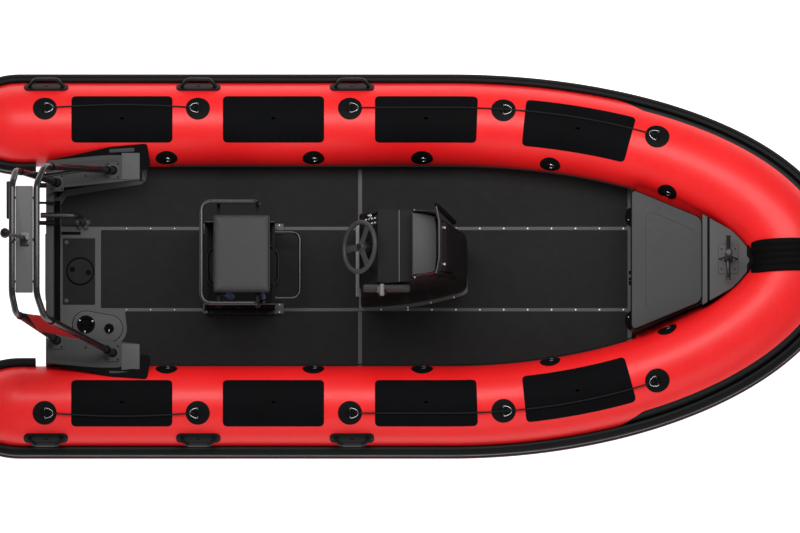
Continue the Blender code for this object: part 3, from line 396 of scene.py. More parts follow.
def rod(start, end, radius, sides=20, edge=0.15):
    """A straight round bar whose end edges are broken by a share of its radius."""
    start, end = np.array(start, float), np.array(end, float)
    along = unit(end - start)
    soft = radius * edge
    stops = [start, start + along * soft, end - along * soft, end]
    return tube(np.array(stops), np.array([radius - soft, radius, radius, radius - soft]), sides)


def axes(origin, z_axis, x_hint=(1, 0, 0)):
    """A carrier to a local frame: z along z_axis, x as near to the hint as it can be."""
    z = unit(np.array(z_axis, float))
    hint = np.array(x_hint, float)
    x = unit(hint - z * (hint @ z))
    basis = np.stack([x, np.cross(z, x), z])
    origin = np.array(origin, float)
    return lambda points: np.asarray(points, float) @ basis + origin


def turned(profile, place, sides=32):
    """A profile of (radius, height) points turned about the local z axis."""
    profile = np.array(profile, float)
    a = np.linspace(0, 2 * np.pi, sides, endpoint=False)
    rows = np.stack([profile[:, :1] * np.cos(a), profile[:, :1] * np.sin(a),
                     np.repeat(profile[:, 1:], sides, 1)], -1)
    return grid(place(rows), ends=False)


def screw_head(point, radius=0.0055, up=(0, 0, 1), height=0.0016):
    """A domed screw head with a small driver recess."""
    steps = np.radians([90, 60, 35, 12])
    dome = [(radius * math.cos(a) * 0.999, height * math.sin(a)) for a in steps[1:]]
    recess = [(0.0, height * 0.35), (radius * 0.34, height * 0.35), (radius * 0.42, height)]
    return turned(recess + dome + [(radius, 0.0), (0.0, 0.0)], axes(point, up, (0.3, 1, 0.2)), 12)


# --------------------------------------------------------------- the collar

BOW_ANGLES = np.radians(np.linspace(90, 0, 721))


def rise(x):
    """Height of the tube's centre line: level, then a parabola up to the bow."""
    return TUBE_Z + BOW_RISE * (np.maximum(0, x - BOW_START_X) / (BOW_LENGTH - INSET)) ** 2


def bow_centre(t):
    """Centre of the tube at ellipse angle t, and the outward direction there."""
    normal = unit(np.stack([HALF_BEAM * np.cos(t), BOW_LENGTH * np.sin(t)], -1))
    flat = np.stack([BOW_START_X + BOW_LENGTH * np.cos(t), HALF_BEAM * np.sin(t)], -1)
    flat = flat - normal * INSET
    return np.concatenate([flat, rise(flat[..., :1])], -1), normal


BOW_LINE = bow_centre(BOW_ANGLES)[0]
BOW_RUN = np.concatenate([[0], np.cumsum(np.linalg.norm(np.diff(BOW_LINE[:, :2], axis=0), axis=1))])


def collar(run, lean, reach=0.0, side=1):
    """Point at a run along the tube (0 where the bow curve starts, aft negative), at
    lean degrees outboard of its top, and reach above its skin."""
    run, lean = np.broadcast_arrays(np.asarray(run, float), np.radians(lean))
    centre, normal = bow_centre(np.interp(run, BOW_RUN, BOW_ANGLES))
    centre = centre + np.minimum(run, 0)[..., None] * np.array([1.0, 0, 0])
    r = TUBE_R + np.asarray(reach)
    out = (r * np.sin(lean))[..., None]
    flat = centre[..., :2] + normal * out
    up = centre[..., 2:] + (r * np.cos(lean))[..., None]
    return np.concatenate([flat, up], -1) * np.array([1.0, side, 1.0])


RUN_TABLE = np.concatenate([np.linspace(-3.0, -0.01, 300), BOW_RUN])


def run_at(x, lean=0.0):
    """The run at which a line at this lean passes a station x."""
    return float(np.interp(x, collar(RUN_TABLE, lean)[:, 0], RUN_TABLE))


def collar_frame(run, lean, side, forward=1.0):
    """A carrier to the skin: x along the run, z straight out of the skin."""
    at = collar(run, lean, 0.0, side)
    along = collar(run + 0.01, lean, 0.0, side) - collar(run - 0.01, lean, 0.0, side)
    return axes(at, collar(run, lean, 0.1, side) - at, along * forward)


def on_skin(plan, run, lean, low, high, edge, side, rings=14):
    """A plan of (run, arc) lengths wrapped round the tube: its edge rises from low and
    rounds over to high, then rings shrink to the middle."""
    plan = dense(plan)
    turn = np.linspace(0, np.pi / 2, 5)
    shrink = [(0.0, low)] + [(edge * (1 - math.cos(a)), high - edge * (1 - math.sin(a)))
                             for a in turn]
    rows = [(inset(plan, d), h) for d, h in shrink]
    inner = rows[-1][0]
    middle = inner.mean(0)
    rows += [(middle + (inner - middle) * k, high) for k in np.linspace(1, 0, rings)[1:]]
    rows += [(middle + (rows[0][0] - middle) * k, low) for k in np.linspace(0, 1, 4)[1:-1]]
    points = np.stack([collar(run + p[:, 0], lean + np.degrees(p[:, 1] / TUBE_R), h, side)
                       for p, h in rows])
    return grid(points, along=True, ends=False)


def collar_skins():
    """Two straight chambers with ellipsoid cones and a lap seam, and the bow chamber:
    circles carried along the centre line."""
    around = np.radians(np.linspace(0, 360, 96, endpoint=False))
    cone = np.radians(np.concatenate([[1.2], np.linspace(4, 90, 24)]))
    lap = 0.0014
    stations = np.concatenate([CONE_X - CONE_LENGTH * np.cos(cone), [CONE_X, CONE_X + 0.036],
                               np.linspace(CONE_X + 0.037, BOW_START_X, 46)])
    radii = np.concatenate([TUBE_R * np.sin(cone), [TUBE_R + lap, TUBE_R + lap],
                            np.full(46, TUBE_R)])
    for side, word in ((1, "port"), (-1, "starboard")):
        rows = np.stack([np.repeat(stations[:, None], 96, 1),
                         side * TUBE_Y + radii[:, None] * np.cos(around),
                         TUBE_Z + radii[:, None] * np.sin(around)], -1)
        piece(f"collar_{word}_skin", [grid(rows)], RED_FABRIC,
              stands_for=[f"collar_{word}"])
    centre, normal = bow_centre(np.radians(np.linspace(90, -90, 241)))
    out = normal[:, None] * (TUBE_R * np.cos(around))[None, :, None]
    flat = centre[:, None, :2] + out
    up = np.broadcast_to(centre[:, None, 2:] + TUBE_R * np.sin(around)[None, :, None],
                         flat.shape[:2] + (1,))
    piece("collar_bow_skin", [grid(np.concatenate([flat, up], -1))], RED_FABRIC,
          stands_for=["collar_bow"])


def strake_profile():
    """Section of the strake as (out from the tube's centre, up): two round ribs with
    a beaded channel between them."""
    proud = TUBE_R + STRAKE_PROUD
    half = [(TUBE_R - 0.012, 0.101), (proud - 0.028, 0.106), (proud - 0.001, 0.082),
            (proud - 0.001, 0.044), (proud - 0.014, 0.031), (proud - 0.014, 0.011),
            (proud - 0.008, 0.007)]
    return outline(half + [(d, -h) for d, h in reversed(half)], 0.012, 4)


def carry(centre, normal, section):
    """Sections of (outward, up) points set upright at each station of a route."""
    flat = centre[:, None, :2] + normal[:, None] * section[None, :, :1]
    up = centre[:, None, 2:] + section[None, :, 1:]
    return np.concatenate([flat, up], -1)


def strakes():
    """The strake profile along each side, round the cone's equator and back inside,
    and round the bow."""
    section = strake_profile()
    t = np.radians(np.linspace(0, 180, 40))
    for side, word in ((1, "port"), (-1, "starboard")):
        straight = np.linspace(BOW_START_X, CONE_X + 0.02, 24)
        centre = np.stack([straight, np.full(24, side * TUBE_Y), np.full(24, TUBE_Z)], -1)
        normal = np.tile([0.0, side], (24, 1))
        rim = np.stack([CONE_X - CONE_LENGTH * np.sin(t), side * (TUBE_Y + TUBE_R * np.cos(t)),
                        np.full(40, TUBE_Z)], -1)
        lean = unit(np.stack([-np.sin(t) / CONE_LENGTH, side * np.cos(t) / TUBE_R], -1))
        rim[:, :2] += lean * (CONE_STRAKE_GAP * 0.3 * np.sin(t)[:, None] - TUBE_R)
        tail = np.array([[-2.33, side * (TUBE_Y - TUBE_R), TUBE_Z]])
        tail[:, 1] += side * TUBE_R
        centre = np.concatenate([centre, rim, tail])
        normal = np.concatenate([normal, lean, [[0.0, -side]]])
        piece(f"strake_{word}_moulding", [grid(carry(centre, normal, section))], STRAKE_RUBBER,
              stands_for=[f"strake_{word}"])
    centre, normal = bow_centre(np.radians(np.linspace(90, -90, 181)))
    piece("strake_bow_moulding", [grid(carry(centre, normal, section))], STRAKE_RUBBER,
          stands_for=["strake_bow"])


def bow_bands():
    """Wear bands above the strake: a strip of skin whose upper edge climbs over its
    first 160 mm and then runs 38 degrees above the equator to the nose."""
    run = np.linspace(run_at(1.36, 72), BOW_RUN[-1] - 0.004, 90)
    start = run[0]
    climb = np.clip((run - start) / 0.20, 0, 1)
    top = 76 - (76 - 51.5) * climb
    for side, word in ((1, "port"), (-1, "starboard")):
        turns = np.linspace(0, 1, 9)
        lean = 78 + (top[:, None] - 78) * turns
        high = np.where((turns > 0) & (turns < 1), 0.0018, -0.001)
        rows = collar(run[:, None], lean, high, side)
        under = collar(run[:, None], lean[:, ::-1][:, 1:-1], -0.003, side)
        piece(f"bow_band_{word}", [grid(np.concatenate([rows, under], 1))], STRAKE_RUBBER)


def bow_guard():
    """Saddle over the nose: constant sections across it, with five round ribs along
    it, and a lobed lip that lies on the bow deck behind it."""
    across = np.linspace(-1, 1, 61)
    table = np.radians(np.linspace(0, 16, 161))
    centre, normal = bow_centre(table)
    ribs = 0.013 + 0.0065 * np.abs(np.cos(across * np.pi * 2.5)) ** 0.7
    thick = ribs * np.clip((1 - np.abs(across)) / 0.06, 0.25, 1) ** 0.5 + 0.006
    start, end = 29.0, 166.0
    rows = []
    for k, top in [(k, True) for k in np.linspace(0, 1, 46)] + [(k, False) for k in
                                                               np.linspace(1, 0, 46)]:
        angle = np.full(61, np.radians(start + (end - start) * k))
        lift = np.where(top, thick * min(1.0, 8 * min(k, 1 - k) + 0.35), 0.003)
        out = (TUBE_R + lift) * np.cos(angle)
        reach = centre[None, :, 1] + out[:, None] * normal[None, :, 1]
        wanted = GUARD_HALF * np.abs(across)
        step = np.array([np.interp(w, r, table) for w, r in zip(wanted, reach)])
        mid, lean = bow_centre(step)
        rows.append(np.stack([mid[:, 0] + lean[:, 0] * out, GUARD_HALF * across,
                              mid[:, 2] + (TUBE_R + lift) * np.sin(angle)], -1))
    ring = np.stack(rows, 1)
    lobes = outline([(2.285, -0.108), (2.285, 0.108), (2.240, 0.108), (2.219, 0.085),
                     (2.2175, 0.020), (2.246, -0.006), (2.219, -0.032), (2.2195, -0.085),
                     (2.240, -0.108)], 0.016, 6)
    lip = slab(dense(lobes, 0.01), BOW_DECK_TOP_Z + 0.0004, BOW_DECK_TOP_Z + 0.016, 0.006, 0.003)
    piece("bow_guard_moulding", [grid(ring), lip], DULL_BLACK,
          stands_for=["bow_guard"], crisp=50)


TREAD_X = ((-2.102, -1.456), (-1.133, -0.486), (-0.160, 0.493), (0.794, 1.472))
RING_X = (-2.272, -1.293, -0.320, 0.662, 1.645)
RING_LEAN = 14.5
INNER_RING_X = (-1.494, -0.554, 0.141, 0.96, 1.709)


def tread_patches():
    """Non-slip patches on top of the tube: rounded rectangles wrapped round it, with a
    raised border."""
    half_arc = TUBE_R * math.radians(33.5)
    for index, (aft, fore) in enumerate(TREAD_X):
        start, stop = run_at(aft), run_at(fore)
        half = (stop - start) / 2
        for side, word in ((1, "port"), (-1, "starboard")):
            shells = [on_skin(rectangle((-half, -half_arc), (half, half_arc), 0.034, 8),
                              start + half, 0.0, -0.003, 0.0030, 0.0016, side)]
            piece(f"tread_patch_{word}_{index + 1}", shells, TREAD_RUBBER)


def ring_path(bar, length):
    """A D in plan: a straight bar across, closed by half an ellipse."""
    a = np.linspace(-np.pi / 2, np.pi / 2, 26)
    bow = np.stack([length * np.cos(a), bar / 2 * np.sin(a)], -1)
    straight = np.stack([np.zeros(7), np.linspace(bar / 2, -bar / 2, 9)[1:-1]], -1)
    return np.concatenate([bow, straight])


def ring_patches():
    """Round patches that hold the steel lifeline rings: a disc wrapped on the tube,
    a webbing loop over the bar, and the ring pulled towards its line."""
    loop = bend([(-0.022, 0, 0.001), (-0.010, 0, 0.0115), (0.006, 0, 0.0115), (0.014, 0, 0.001)],
                0.008, 5)
    for side, word in ((1, "port"), (-1, "starboard")):
        for index, x in enumerate(RING_X):
            run = run_at(x, RING_LEAN)
            forward = -1.0 if index in (1, 4) else 1.0
            pad = on_skin(disc(0.077, 56), run, RING_LEAN, -0.003, 0.0032, 0.0016, side, 8)
            place = collar_frame(run, RING_LEAN, side, forward)
            path = ring_path(0.064, 0.052)
            lift = 0.0075 + 0.0035 * np.clip(path[:, 0] / 0.052, 0, 1)
            d_ring = tube(place(np.column_stack([path, lift])), 0.0027, 10, closed=True)
            strap = grid(place(np.stack([np.column_stack([loop[:, 0], np.full(len(loop), y),
                                                          loop[:, 2] + h])
                                         for y, h in ((-0.020, 0.0), (-0.020, 0.0028),
                                                      (0.020, 0.0028), (0.020, 0.0))], 1)))
            piece(f"ring_patch_{word}_{index + 1}", [pad, strap], PATCH_RUBBER)
            piece(f"d_ring_{word}_{index + 1}", [d_ring], STEEL)
        for index, x in enumerate(INNER_RING_X):
            lean = -62.0
            run = run_at(x, lean)
            pad = on_skin(disc(0.070, 48), run, lean, -0.003, 0.0032, 0.0016, side, 7)
            place = collar_frame(run, lean, side)
            tab = slab(rectangle((-0.024, -0.012), (0.024, 0.012), 0.006), 0.002, 0.007, 0.002,
                       place=place)
            eye = tube(place(np.column_stack([ring_path(0.036, 0.026), np.full(33, 0.009)])),
                       0.0022, 8, closed=True)
            piece(f"inner_patch_{word}_{index + 1}", [pad, tab], PATCH_RUBBER)
            piece(f"inner_eye_{word}_{index + 1}", [eye], STEEL)


def grab_handles():
    """Moulded handles: a stadium base with a raised rim wrapped on the tube, a bridged
    grip of flat oval section, and a ribbed sleeve on its middle."""
    for side, first in ((1, 1), (-1, 4)):
        for index, x in enumerate((-2.265, -1.290, -0.307)):
            number = first + index
            base = on_skin(rectangle((-0.142, -0.040), (0.142, 0.040), 0.040, 8), x - BOW_START_X,
                           53.0, -0.003, 0.009, 0.004, side, 6)
            place = collar_frame(x - BOW_START_X, 53.0, side)
            route = bend([(-0.112, 0, 0.004), (-0.076, 0, 0.058), (0.076, 0, 0.058),
                          (0.112, 0, 0.004)], 0.05, 8)
            grip = tube(place(route), 0.0105, 20, flat=1.7)
            x_sleeve = np.linspace(-0.058, 0.058, 49)
            ribs = 0.0128 + 0.0007 * np.sign(np.cos(x_sleeve * 2 * np.pi / 0.0097))
            ribs[[0, -1]] = 0.010
            sleeve = tube(place(np.column_stack([x_sleeve, np.zeros(49), np.full(49, 0.058)])),
                          ribs, 20, flat=1.55)
            screws = [screw_head(place(np.array([s * 0.124, 0, 0.0088])), 0.006,
                                 place(np.array([0, 0, 1.0])) - place(np.zeros(3)))
                      for s in (-1, 1)]
            piece(f"handle_{number}_moulding", [base, grip], STRAKE_RUBBER,
                  stands_for=[f"grab_handle_{number}"])
            piece(f"handle_{number}_sleeve", [sleeve], GRIP_RUBBER)
            piece(f"handle_{number}_screws", screws, BLACK_METAL)


def rope(path, radius, lay=0.034):
    """Three strands wound round a route: each is a tube whose centre turns about the
    route once per lay."""
    step = np.linalg.norm(np.diff(path, axis=0), axis=1)
    run = np.concatenate([[0], np.cumsum(step)])
    count = int(run[-1] / 0.0042)
    fine = np.linspace(0, run[-1], count)
    centre = np.stack([np.interp(fine, run, path[:, k]) for k in range(3)], -1)
    along = unit(np.gradient(centre, axis=0))
    across = unit(np.cross(along, [0.02, 0.03, 1.0]))
    up = np.cross(across, along)
    shells = []
    for strand in range(3):
        a = (fine / lay + strand / 3) * 2 * np.pi
        offset = across * np.cos(a)[:, None] + up * np.sin(a)[:, None]
        shells.append(tube_on(centre + offset * radius * 0.48, across, up, radius * 0.54, 7))
    return shells, centre


def tube_on(path, across, up, radius, sides):
    """A round section carried along a path on the given side directions."""
    a = np.linspace(0, 2 * np.pi, sides, endpoint=False)
    rows = path[:, None] + radius * (across[:, None] * np.cos(a)[None, :, None]
                                     + up[:, None] * np.sin(a)[None, :, None])
    return grid(rows)


def lifelines():
    """Grab lines laid along the tube at a lean that bows out between their rings."""
    lines = (("aft", -2.24, -1.32, 14.5, 10, 4.0), ("fore", -0.29, 1.61, 14.5, 18, 0.0),
             ("inner", -1.47, 1.56, -80.0, 24, 0.0))
    for word, aft, fore, lean, count, bow_out in lines:
        stations = np.linspace(aft, fore, count)
        leans = lean + bow_out * np.sin(np.pi * np.linspace(0, 1, count))
        run = np.array([run_at(x) for x in stations])
        fine = np.linspace(0, 1, 160)
        runs = np.interp(fine, np.linspace(0, 1, count), run)
        turns = np.interp(fine, np.linspace(0, 1, count), leans)
        for side, side_word in ((1, "port"), (-1, "starboard")):
            path = collar(runs, turns, 0.011, side)
            shells, centre = rope(path, 0.005)
            line = piece(f"grab_line_{word}_{side_word}", shells, ROPE_YARN,
                         stands_for=[f"lifeline_{word}_{side_word}"])


# ------------------------------------------------------------ hull and deck

def dress(material, *names):
    """Give carried-over nodes their finish."""
    for name in names:
        for place in nodes[name].material_slots:
            place.material = material


def hull_lines(centre, normal):
    """Keel, chine and sheer under the tube at stations of its centre line: the sheer
    touches the tube 30 degrees below its side, the keel climbs with the 2.3rd power."""
    reach = TUBE_R + SHEER_GAP
    flat = centre[:, :2] - normal * reach * math.cos(SHEER_ANGLE)
    sheer = np.column_stack([flat, centre[:, 2] - reach * math.sin(SHEER_ANGLE)])
    ahead = np.maximum(0, sheer[:, 0] - KEEL_FLAT_END_X) / (STEM_HEAD[0] - KEEL_FLAT_END_X)
    keel = np.column_stack([sheer[:, 0], 0 * ahead,
                            KEEL_Z + (STEM_HEAD[1] - KEEL_Z) * ahead ** 2.3])
    chine = np.column_stack([sheer[:, 0], sheer[:, 1] * CHINE_SPREAD,
                             keel[:, 2] + (sheer[:, 2] - keel[:, 2]) * CHINE_HEIGHT])
    return keel, chine, sheer


def clear_half(x, z, gap):
    """Half width between the tubes at stations x and a height."""
    y = np.linspace(0, TUBE_Y, 500)
    side = np.linspace([-2.9, TUBE_Y, TUBE_Z], [0.3, TUBE_Y, TUBE_Z], 200)
    line = np.concatenate([[[-3.0, TUBE_Y, TUBE_Z]], side, BOW_LINE])
    found = []
    for station in np.atleast_1d(x):
        spot = np.stack([np.full(500, station), y, np.full(500, z)], -1)
        near = np.linalg.norm(line[None] - spot[:, None], axis=2).min(1)
        found.append(y[np.argmax(near <= TUBE_R + gap)])
    return np.array(found)


def hull_moulding():
    """V bottom with two spray rails a side: straight lines from keel to chine to sheer
    at each station, with a 12 mm rail where the share of the way is 0.45 or 0.78."""
    straight = np.linspace(HULL_AFT_X, BOW_START_X - 0.05, 26)
    bow, out = bow_centre(np.radians(np.linspace(90, 2.0, 64)))
    centre = np.vstack([np.stack([straight, np.full(26, TUBE_Y), np.full(26, TUBE_Z)], -1), bow])
    normal = np.vstack([np.tile([0.0, 1.0], (26, 1)), out])
    keel, chine, sheer = hull_lines(centre, normal)
    share = np.array([0.04, 0.20, 0.40, 0.448, 0.452, 0.49, 0.62, 0.73, 0.778, 0.782, 0.82, 0.985])
    proud = np.array([0, 0, 0, 0.010, 0.010, 0, 0, 0, 0.010, 0.010, 0, 0])
    bottom = keel[:, None] + (chine - keel)[:, None] * share[:, None]
    across = unit(chine - keel + [0, 1e-9, 0])
    down = np.stack([0 * across[:, 0], across[:, 2], -across[:, 1]], -1)
    fade = np.clip((2.15 - centre[:, 0]) / 0.6, 0, 1)
    bottom += down[:, None] * (proud[None, :] * fade[:, None])[..., None]
    topside = chine[:, None] + (sheer - chine)[:, None] * np.array([0.03, 0.5, 1.0])[:, None]
    port = np.concatenate([bottom, topside], 1)
    wall = np.array([0, -0.005, 0.006])
    inner = port[:, ::-1] + wall
    inner[..., 1] = np.maximum(inner[..., 1], 0.0)
    flip = np.array([1, -1, 1])
    ring = np.concatenate([keel[:, None], port, inner, keel[:, None] + [0, 0, 0.012],
                           inner[:, ::-1] * flip, port[:, ::-1] * flip], 1)
    piece("hull_moulding", [grid(ring)], ALLOY, stands_for=["hull_shell"],
          crisp=24)
    bar = block((HULL_AFT_X, -0.055, 0.0), (KEEL_FLAT_END_X, 0.055, 0.0115), 0.003)
    piece("keel_wear_bar", [bar], ALLOY, stands_for=["keel_guard"])


def transom_board():
    """Stern board: a plan in the cross plane given its thickness, with a wear cap."""
    heights = np.array([0.375, 0.43, 0.51, 0.58])
    half = [(0.0, 0.012), (0.735, 0.27)] + list(zip(clear_half_at(-2.24, heights), heights))
    half += [(half[-1][0], TRANSOM_TOP_Z)]
    plan = outline(half + [(-y, z) for y, z in reversed(half[1:])], 0.012, 3)
    fore = HULL_AFT_X - GAP

    def upright(rows):
        return np.stack([rows[..., 2], rows[..., 0], rows[..., 1]], -1)

    board = slab(plan, TRANSOM_AFT_X, fore, 0.003, 0.003, place=upright)
    piece("transom_board", [board], DARK_PAINT, stands_for=["transom"])
    clamp = slab(rectangle((-0.20, 0.36), (0.20, 0.62), 0.03), TRANSOM_AFT_X - 0.005,
                 TRANSOM_AFT_X - 0.0002, 0.0, 0.002, place=upright)
    piece("transom_wear_pad", [clamp], BLACK_PLASTIC)
    cap = slab(rectangle((-0.40, TRANSOM_AFT_X + 0.002), (0.40, fore - 0.002), 0.004),
               TRANSOM_TOP_Z - 0.001, TRANSOM_TOP_Z + 0.003, 0.002,
               place=lambda rows: rows[..., [1, 0, 2]])
    piece("transom_cap", [cap], DARK_PAINT)


def clear_half_at(x, heights):
    """Half widths between the tubes at one station and several heights."""
    return [float(clear_half(x, z, 0.004)[0]) for z in heights]


def deck_coverings():
    """Anti-slip pads with rounded edges, the grey cross strip, a black gutter mat
    before the transom, and screws at even steps along both strips."""
    inner = STRIP_Y + 0.011
    fore = 1.456
    stations = np.linspace(BOW_START_X, fore, 16)
    sheer = hull_lines(*bow_centre(np.radians(np.linspace(90, 20, 60))))[2]
    hull_half = np.interp(stations, sheer[:, 0], sheer[:, 1]) - 0.010
    free = np.minimum(clear_half(stations, DECK_TOP_Z, 0.006), hull_half)
    outer = list(zip(stations, free))
    port = [(-2.17, inner), (-2.17, 0.415), (-2.135, 0.470), (-1.655, 0.548), (-1.625, 0.575),
            (-1.62, 0.64), (-1.60, free[0])] + outer + [(fore, inner)]
    turn = np.radians(np.linspace(0, 80, 9))
    starboard = [(-1.76, inner)] + [(SWITCH_CENTRE[0] + 0.115 * math.cos(a),
                                     -SWITCH_CENTRE[1] + 0.115 * math.sin(a)) for a in turn]
    starboard += [(-1.80, 0.53), (-1.62, 0.56), (-1.62, 0.64), (-1.60, free[0])] + outer
    starboard += [(fore, inner)]
    half = STRIP_Y - 0.011
    for word, plan, side in (("port", port, 1), ("starboard", starboard, -1)):
        plan = outline([(x, side * y) for x, y in plan], 0.012, 3)
        piece(f"deck_pad_{word}_mat", [slab(plan, DECK_TOP_Z + GAP, PAD_TOP_Z, 0.0012)],
              DECK_FOAM, stands_for=[f"deck_pad_{word}"], crisp=60)
    piece("deck_pad_centre_mat", [slab(rectangle((-1.914, -half), (fore, half), 0.006),
                                       DECK_TOP_Z + GAP, PAD_TOP_Z, 0.0012)],
          DECK_FOAM, stands_for=["deck_pad_centre"], crisp=60)
    dress(GREY_PAINT, "deck_plate")
    strips = [slab(rectangle((-0.268, low), (-0.243, high), 0.003), PAD_TOP_Z - 0.001,
                   PAD_TOP_Z + 0.0012, 0.0006) for low, high in ((0.276, 0.644), (-0.644, -0.276))]
    piece("deck_cross_strip", strips, GREY_PAINT)
    piece("gutter_mat", [slab(rectangle((-2.2125, -0.485), (-2.174, 0.440), 0.006),
                              DECK_TOP_Z + GAP, DECK_TOP_Z + 0.005, 0.0015)],
          DULL_BLACK)
    heads = [screw_head((x, s * STRIP_Y, DECK_TOP_Z), 0.0058)
             for x in 0.051 + 0.1533 * np.arange(10) for s in (-1, 1)]
    heads += [screw_head((x, s * STRIP_Y, DECK_TOP_Z), 0.0040)
              for x in np.arange(-1.75, -1.3, 0.1533) for s in (-1, 1)]
    piece("deck_strip_screws", heads, SCREW)


# ------------------------------------------------------------ after fittings

QUARTER_WALL = ((-2.195, 0.452), (-2.145, 0.512), (-1.664, 0.585), (-1.664, 0.640), (-1.80, 0.640),
                (-2.195, 0.640))
QUARTER_TOP = ((-2.262, 0.430), (-2.160, 0.480), (-1.664, 0.530), (-1.664, 0.705), (-1.80, 0.700),
               (-2.262, 0.655))


def quarter_boxes():
    """Step boxes: near-black walls, their darkness painted shade for the boxes' shaded
    inward sides, a grey top with a dropped panel line, a lighter pad in front, a flap that
    climbs the tube, and bolts in line with the arch's feet."""
    for side, word in ((1, "port"), (-1, "starboard")):
        def plan(points, radius=0.012):
            return outline([(x, side * y) for x, y in points], radius, 4)

        def climb(rows):
            rows = np.array(rows)
            rows[..., 2] += 0.5 * np.clip(np.abs(rows[..., 1]) - 0.692, 0, 1)
            return rows

        # Painted shade: the walls are near black to stand for the shade on the boxes' inward sides.
        wall = slab(plan(QUARTER_WALL, 0.02), PAD_TOP_Z + GAP, 0.6975, 0.0, 0.0)
        piece(f"quarter_box_{word}_wall", [wall], DULL_BLACK,
              stands_for=[f"quarter_box_{word}"])
        top = slab(plan(QUARTER_TOP), 0.692, BOX_TOP_Z, 0.004, 0.004)
        piece(f"quarter_box_{word}_top", [top], DARK_PAINT)
        panel = [(-2.235, 0.475), (-2.150, 0.498), (-1.798, 0.542), (-1.798, 0.672),
                 (-2.235, 0.630)]
        piece(f"quarter_box_{word}_panel", [slab(plan(panel, 0.010), BOX_TOP_Z - 0.001,
                                                 BOX_TOP_Z + 0.0007, 0.0004)],
              RECESS_GREY)
        pad = [(-1.782, 0.532), (-1.6655, 0.532), (-1.6655, 0.7045), (-1.782, 0.7045)]
        piece(f"quarter_box_{word}_pad", [slab(plan(pad, 0.006), BOX_TOP_Z - 0.001,
                                               BOX_TOP_Z + 0.004, 0.0025)],
              GREY_PAINT)
        flap = [(-2.233, 0.60), (-2.233, 0.662), (-1.856, 0.742), (-1.619, 0.762), (-1.596, 0.64),
                (-1.60, 0.60)]
        piece(f"quarter_flap_{word}", [slab(dense(plan(flap, 0.02)), 0.694, 0.700, 0.0025, 0.0025,
                                            place=climb)],
              DULL_BLACK)
        strip = [(-1.86, 0.705), (-1.70, 0.712), (-1.70, 0.738), (-1.86, 0.728)]
        piece(f"quarter_tab_{word}", [slab(plan(strip, 0.006), 0.717, 0.722, 0.002, 0.002)],
              RECESS_GREY)
        tick = block((-1.655, side * 0.60 - 0.03, 0.405), (-1.640, side * 0.60 + 0.03, 0.43), 0.003)
        piece(f"quarter_cleat_{word}", [tick], GREY_PAINT)
        bolts = [screw_head((x, side * y, BOX_TOP_Z + 0.0006), 0.008, height=0.005)
                 for x, y in ((-2.2105, 0.508), (-2.010, 0.555), (-1.806, 0.598))]
        piece(f"quarter_bolts_{word}", bolts, BLACK_METAL)


def leg_point(foot, knee, z):
    """Point on a straight leg at a height."""
    foot, knee = np.array(foot), np.array(knee)
    return foot + (knee - foot) * (z - foot[2]) / (knee[2] - foot[2])


